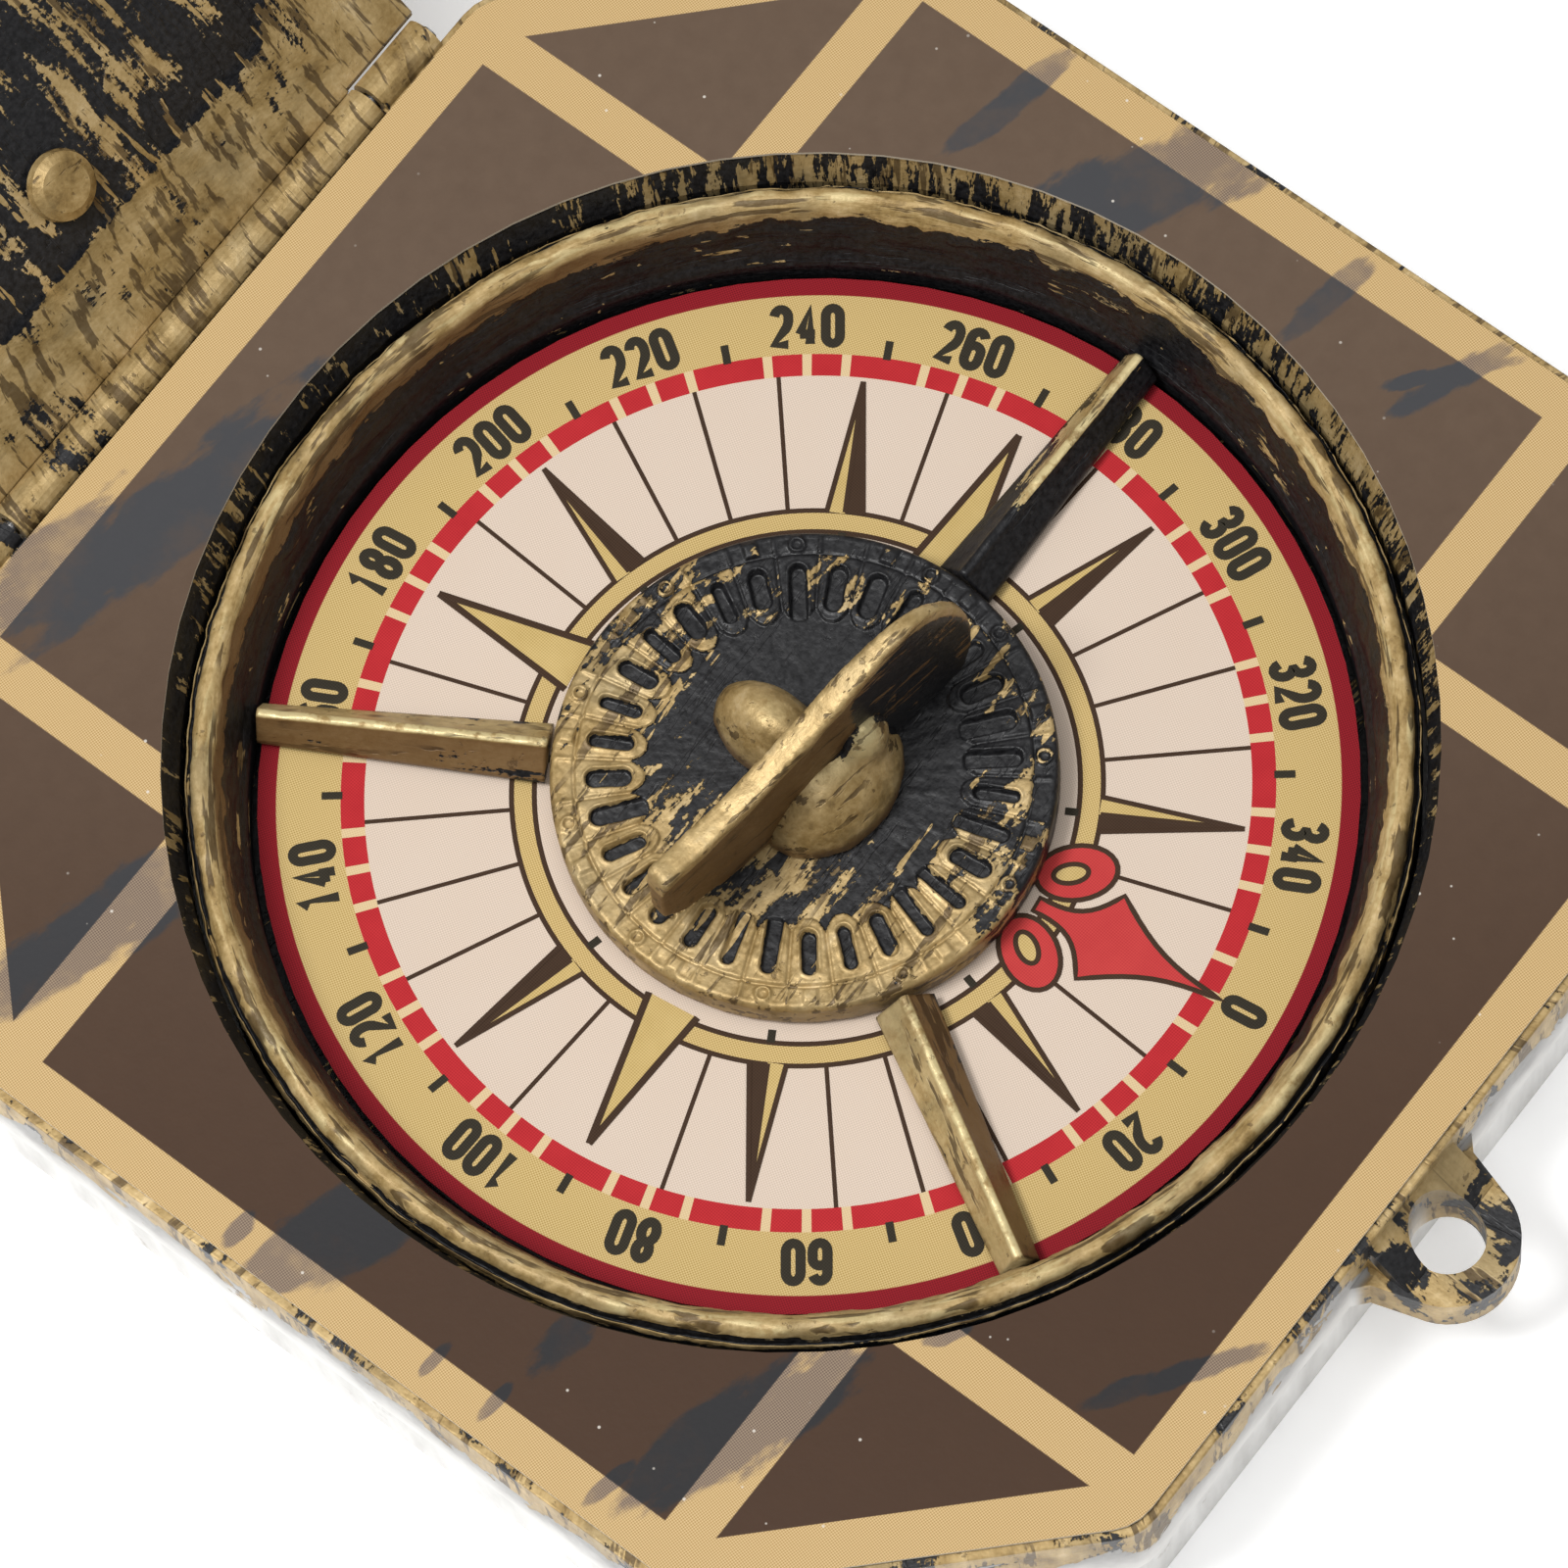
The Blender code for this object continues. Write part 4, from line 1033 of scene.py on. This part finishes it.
def ray_lines():
    """Thin lines every 11.25 degrees, except where a spike or the pointer stands."""
    taken = set(small_spikes()) | set(big_spikes()) | {0.0}
    headings = [11.25 * index for index in range(32)]
    return [[heading(d) * RING_OUTER_LINE_R, heading(d) * FIELD_R] for d in headings if d not in taken]


def half_spike(degrees, side, base_r, half_angle, tip_r):
    """One half of a spike: side is 1 for its clockwise half, and -1 for the other."""
    return [heading(degrees) * base_r * 0.995, heading(degrees + side * half_angle) * base_r,
            heading(degrees) * tip_r]


def make_spikes(gold, dark):
    small = [(d, 0.01546, 3.6, 0.0230) for d in small_spikes()]
    big = [(d, 0.01395, 6.0, 0.0225) for d in big_spikes()]
    halves = [half_spike(d, -1, r, a, t) for d, r, a, t in small]
    wholes = [[heading(d - a) * r, heading(d) * t, heading(d + a) * r] for d, r, a, t in big]
    ink_patches("spike_gold", halves + wholes, gold, 2.5)
    ink_patches("spike_shade", [half_spike(d, 1, r, a, t) for d, r, a, t in small], dark, 3.0)
    middles = [[heading(d) * r, heading(d) * t] for d, r, a, t in small]
    ink_strokes("spike_middles", middles, dark, 4.0, OUTLINE_WIDTH)
    for side, turn, layer in (("left", -1, 5.0), ("right", 1, 6.0)):
        for kind, spikes, width in (("spike", small, OUTLINE_WIDTH), ("big_spike", big, BIG_OUTLINE_WIDTH)):
            lines = [[heading(d + turn * a) * r, heading(d) * t] for d, r, a, t in spikes]
            ink_strokes(f"{kind}_{side}_lines", lines, dark, layer, width)


def curve_through(start, end, bulge, steps=10):
    """Points on a shallow arc between two places, pushed aside by bulge in its middle."""
    side = Vector((-(end - start).y, (end - start).x)).normalized()
    shares = [index / steps for index in range(steps + 1)]
    return [start.lerp(end, share) + side * bulge * math.sin(math.pi * share) for share in shares]


def pointer_body():
    """The red pointer: a long concave tip, two barbs, and a neck that runs under the disc."""
    tip, left, right = on_card(0.0, 0.0249), on_card(0.0, 0.0176, -0.0026), on_card(0.0, 0.0176, 0.0026)
    left_neck, right_neck = on_card(0.0, 0.0138, -0.0004), on_card(0.0, 0.0138, 0.0004)
    outline = curve_through(left, tip, -0.00062)[:-1]
    outline += curve_through(tip, right, -0.00062)[:-1]
    outline += curve_through(right, right_neck, -0.0008)
    return outline + curve_through(left_neck, left, -0.0008)[:-1]


def oval(centre, long_way, half_length, half_width, steps=28):
    across = Vector((-long_way.y, long_way.x))
    angles = [2.0 * math.pi * index / steps for index in range(steps)]
    return [centre + long_way * half_length * math.cos(angle) + across * half_width * math.sin(angle)
            for angle in angles]


def make_pointer(red, gold, dark):
    body = pointer_body()
    curls, eyes = [], []
    for side in (-1.0, 1.0):
        middle = on_card(side * 9.6, 0.0150)
        lean = (on_card(side * 12.5, 0.0168) - on_card(side * 5.0, 0.0132)).normalized()
        curls.append(oval(middle, lean, 0.00215, 0.00150))
        eyes.append(oval(middle - lean * 0.0003, lean, 0.00092, 0.00052))
    ink_patches("pointer_red", [body] + curls, red, 4.0)
    ink_patches("pointer_eyes", eyes, gold, 5.0)
    loops = [shape + [shape[0].copy()] for shape in [body] + curls + eyes]
    ink_strokes("pointer_lines", loops, dark, 5.5, OUTLINE_WIDTH)


def arc(cx, cy, rx, ry, start, end, steps=10):
    """Points on an ellipse, in a digit's box one unit high."""
    angles = [math.radians(start + (end - start) * i / steps) for i in range(steps + 1)]
    return [(cx + rx * math.cos(a), cy + ry * math.sin(a)) for a in angles]


def digit_strokes():
    """Centre lines of the numerals used, in a box one unit wide and one unit high."""
    loop = arc(0.5, 0.78, 0.5, 0.22, 0, 180) + arc(0.5, 0.22, 0.5, 0.22, 180, 360)
    low_loop = arc(0.5, 0.42, 0.5, 0.18, 0, 180) + arc(0.5, 0.22, 0.5, 0.22, 180, 360)
    return {
        "0": [loop + loop[:1]],
        "1": [[(0.30, 0.80), (0.62, 1.0), (0.62, 0.0)]],
        "2": [arc(0.5, 0.76, 0.5, 0.24, 170, 0) + arc(0.2, 0.70, 0.8, 0.40, 0, -45, 5)
              + [(0.0, 0.0), (1.0, 0.0)]],
        "3": [arc(0.5, 0.77, 0.48, 0.23, 165, -90) + arc(0.5, 0.25, 0.5, 0.25, 90, -165)],
        "4": [[(0.72, 0.0), (0.72, 1.0), (0.0, 0.28)], [(0.0, 0.28), (1.05, 0.28)]],
        "6": [low_loop + low_loop[:1], arc(0.5, 0.78, 0.5, 0.22, 20, 180) + [(0.0, 0.22)]],
        "8": [arc(0.5, 0.77, 0.44, 0.23, -90, 270, 18), arc(0.5, 0.27, 0.5, 0.27, 90, 450, 18)],
    }


def make_numerals(dark):
    """The scale's numbers. A digit's second stroke, where it has one, lies on a layer of its own."""
    digits = digit_strokes()
    first, second = [], []
    for value in range(0, 360, 20):
        text = str(value)
        advance = NUMERAL_WIDTH + NUMERAL_GAP
        start = -0.5 * (advance * len(text) - NUMERAL_GAP)
        for place, digit in enumerate(text):
            for line, strokes in zip(digits[digit], (first, second)):
                strokes.append([on_card(value, NUMERAL_R + y * NUMERAL_HEIGHT,
                                        start + place * advance + x * NUMERAL_WIDTH) for x, y in line])
    ink_strokes("card_numerals", first, dark, 2.0, NUMERAL_STROKE)
    ink_strokes("card_numerals_over", second, dark, 4.0, NUMERAL_STROKE)


def make_card_ink():
    red = ink("ink_red", srgb(142, 24, 32), srgb(196, 54, 58))
    pointer_red = ink("ink_pointer", srgb(158, 40, 46), srgb(200, 74, 70))
    gold = ink("ink_gold", *CARD_GOLD)
    dark = ink("ink_dark", srgb(46, 33, 25), srgb(76, 58, 45))
    numeral_ink = ink("ink_numeral", srgb(36, 33, 27), srgb(62, 57, 47))
    ink_patches("scale_dashes", dash_blocks(), red, 1.0)
    ink_strokes("card_rays", ray_lines(), dark, 2.0, RAY_WIDTH)
    ink_strokes("card_rings", [ring_line(RING_INNER_LINE_R), ring_line(RING_OUTER_LINE_R)], dark, 1.0,
                OUTLINE_WIDTH)
    ticks = [[heading(d) * 0.0136, heading(d) * RING_INNER_LINE_R] for d in small_spikes()]
    ticks += [[heading(d) * 0.0244, heading(d) * 0.0255] for d in range(10, 360, 20)]
    ink_strokes("scale_ticks", ticks, numeral_ink, 2.0, TICK_WIDTH)
    make_spikes(gold, dark)
    make_pointer(pointer_red, gold, dark)
    make_numerals(numeral_ink)


# ---------------------------------------------------------------- CAD nodes with new finishes


def paint_nodes():
    """Gives each carried-over node its finish."""
    steel = turned_metal("steel", srgb(120, 120, 122), srgb(190, 190, 192), 0.35)
    brass = turned_metal("brass", srgb(150, 116, 62), srgb(206, 172, 108), 0.32)
    magnet = turned_metal("magnet", srgb(60, 60, 62), srgb(100, 100, 102), 0.5)
    finishes = {
        "upper_case": case_paint(),
        "lower_case": bare_plastic(),
        "deck_sheet": printed_deck(),
        "card_face": printed_card(),
        "lid_shell": aged_paint("lid_paint", 0.5, patch=110.0, streak_space=across_lid, streak_scale=640.0,
                                tilt=lid_tilt, scratch_space=across_lid, dirt=1.0),
        "lid_stud": aged_paint("stud_paint", 1.0, patch=300.0),
        "card_disc": turned_metal("card_plate", srgb(150, 150, 152), srgb(206, 206, 208), 0.4),
        "well_pan": aged_paint("pan_paint", 0.08, patch=300.0),
        "card_hub": brass,
        "hinge_pin": steel,
        "pivot_pin": brass,
        "magnet_bar_left": magnet,
        "magnet_bar_right": magnet,
    }
    finishes |= {f"case_screw_{index}": steel for index in range(1, 5)}
    for name, material in finishes.items():
        dress(NODES[name].data, material)


def across_lid(shader):
    """Space for streaks that run straight away from the hinge, and lean to one side on the walls."""
    lean = shader.times(shader.math("SUBTRACT", shader.z, shader.y), 0.25)
    y, z = [shader.times(value, 0.14) for value in (shader.y, shader.z)]
    return shader.combine(shader.plus(shader.x, lean), y, z)


def lid_tilt(shader):
    """Little gold on the lid's floor and much on its rim and walls, by the depth into the open lid."""
    behind, above = shader.plus(shader.y, -HINGE_Y), shader.plus(shader.z, -HINGE_Z)
    depth = shader.times(shader.math("SUBTRACT", behind, above), math.sqrt(0.5))
    return shader.ease(depth, 0.0080, 0.0088, 0.085, -0.035)


# ---------------------------------------------------------------- camera, floor and light


def aim_matrix(place, target, roll):
    """Puts something at a place, looking at a target, turned by roll round its own line of sight."""
    forward = (target - place).normalized()
    right = forward.cross(Vector((0.0, 0.0, 1.0))).normalized()
    up = right.cross(forward)
    turned_up = up * math.cos(roll) + right * math.sin(roll)
    turned_right = forward.cross(turned_up)
    rows = Matrix((turned_right, turned_up, -forward)).transposed()
    return Matrix.Translation(place) @ rows.to_4x4()


def make_camera():
    data = bpy.data.cameras.new("camera")
    data.lens = CAMERA_LENS
    data.sensor_width = SENSOR_WIDTH
    data.clip_start = 0.01
    camera = link_new("camera", data)
    camera.matrix_world = aim_matrix(CAMERA_PLACE, CAMERA_AIM, CAMERA_ROLL)
    bpy.context.scene.camera = camera


def add_light(name, place, size, power):
    """A soft round light that looks at the middle of the case."""
    data = bpy.data.lights.new(name, "AREA")
    data.shape = "DISK"
    data.size = size
    data.energy = power
    link_new(name, data).matrix_world = aim_matrix(Vector(place), Vector((0.0, 0.0, 0.01)), 0.0)


def make_studio():
    bpy.ops.mesh.primitive_plane_add(size=4.0, location=(0.0, 0.0, 0.0))
    floor = bpy.context.object
    floor.name = "floor"
    floor.data.materials.append(floor_white())
    world = bpy.data.worlds.new("studio")
    bpy.context.scene.world = world
    world.use_nodes = True
    background = world.node_tree.nodes["Background"]
    background.inputs["Color"].default_value = (1.0, 1.0, 1.0, 1.0)
    background.inputs["Strength"].default_value = 0.40
    add_light("key", (-0.26, 0.16, 0.66), 0.24, 4.0)
    add_light("overhead", (-0.05, -0.10, 0.80), 0.60, 2.0)
    bpy.context.scene.view_settings.view_transform = "Standard"


make_camera()
make_studio()
paint_nodes()
make_bezel()
make_disc()
for arm_name, arm_look in ARMS.items():
    make_arm(arm_name, *arm_look)
make_gnomon()
make_card_ink()
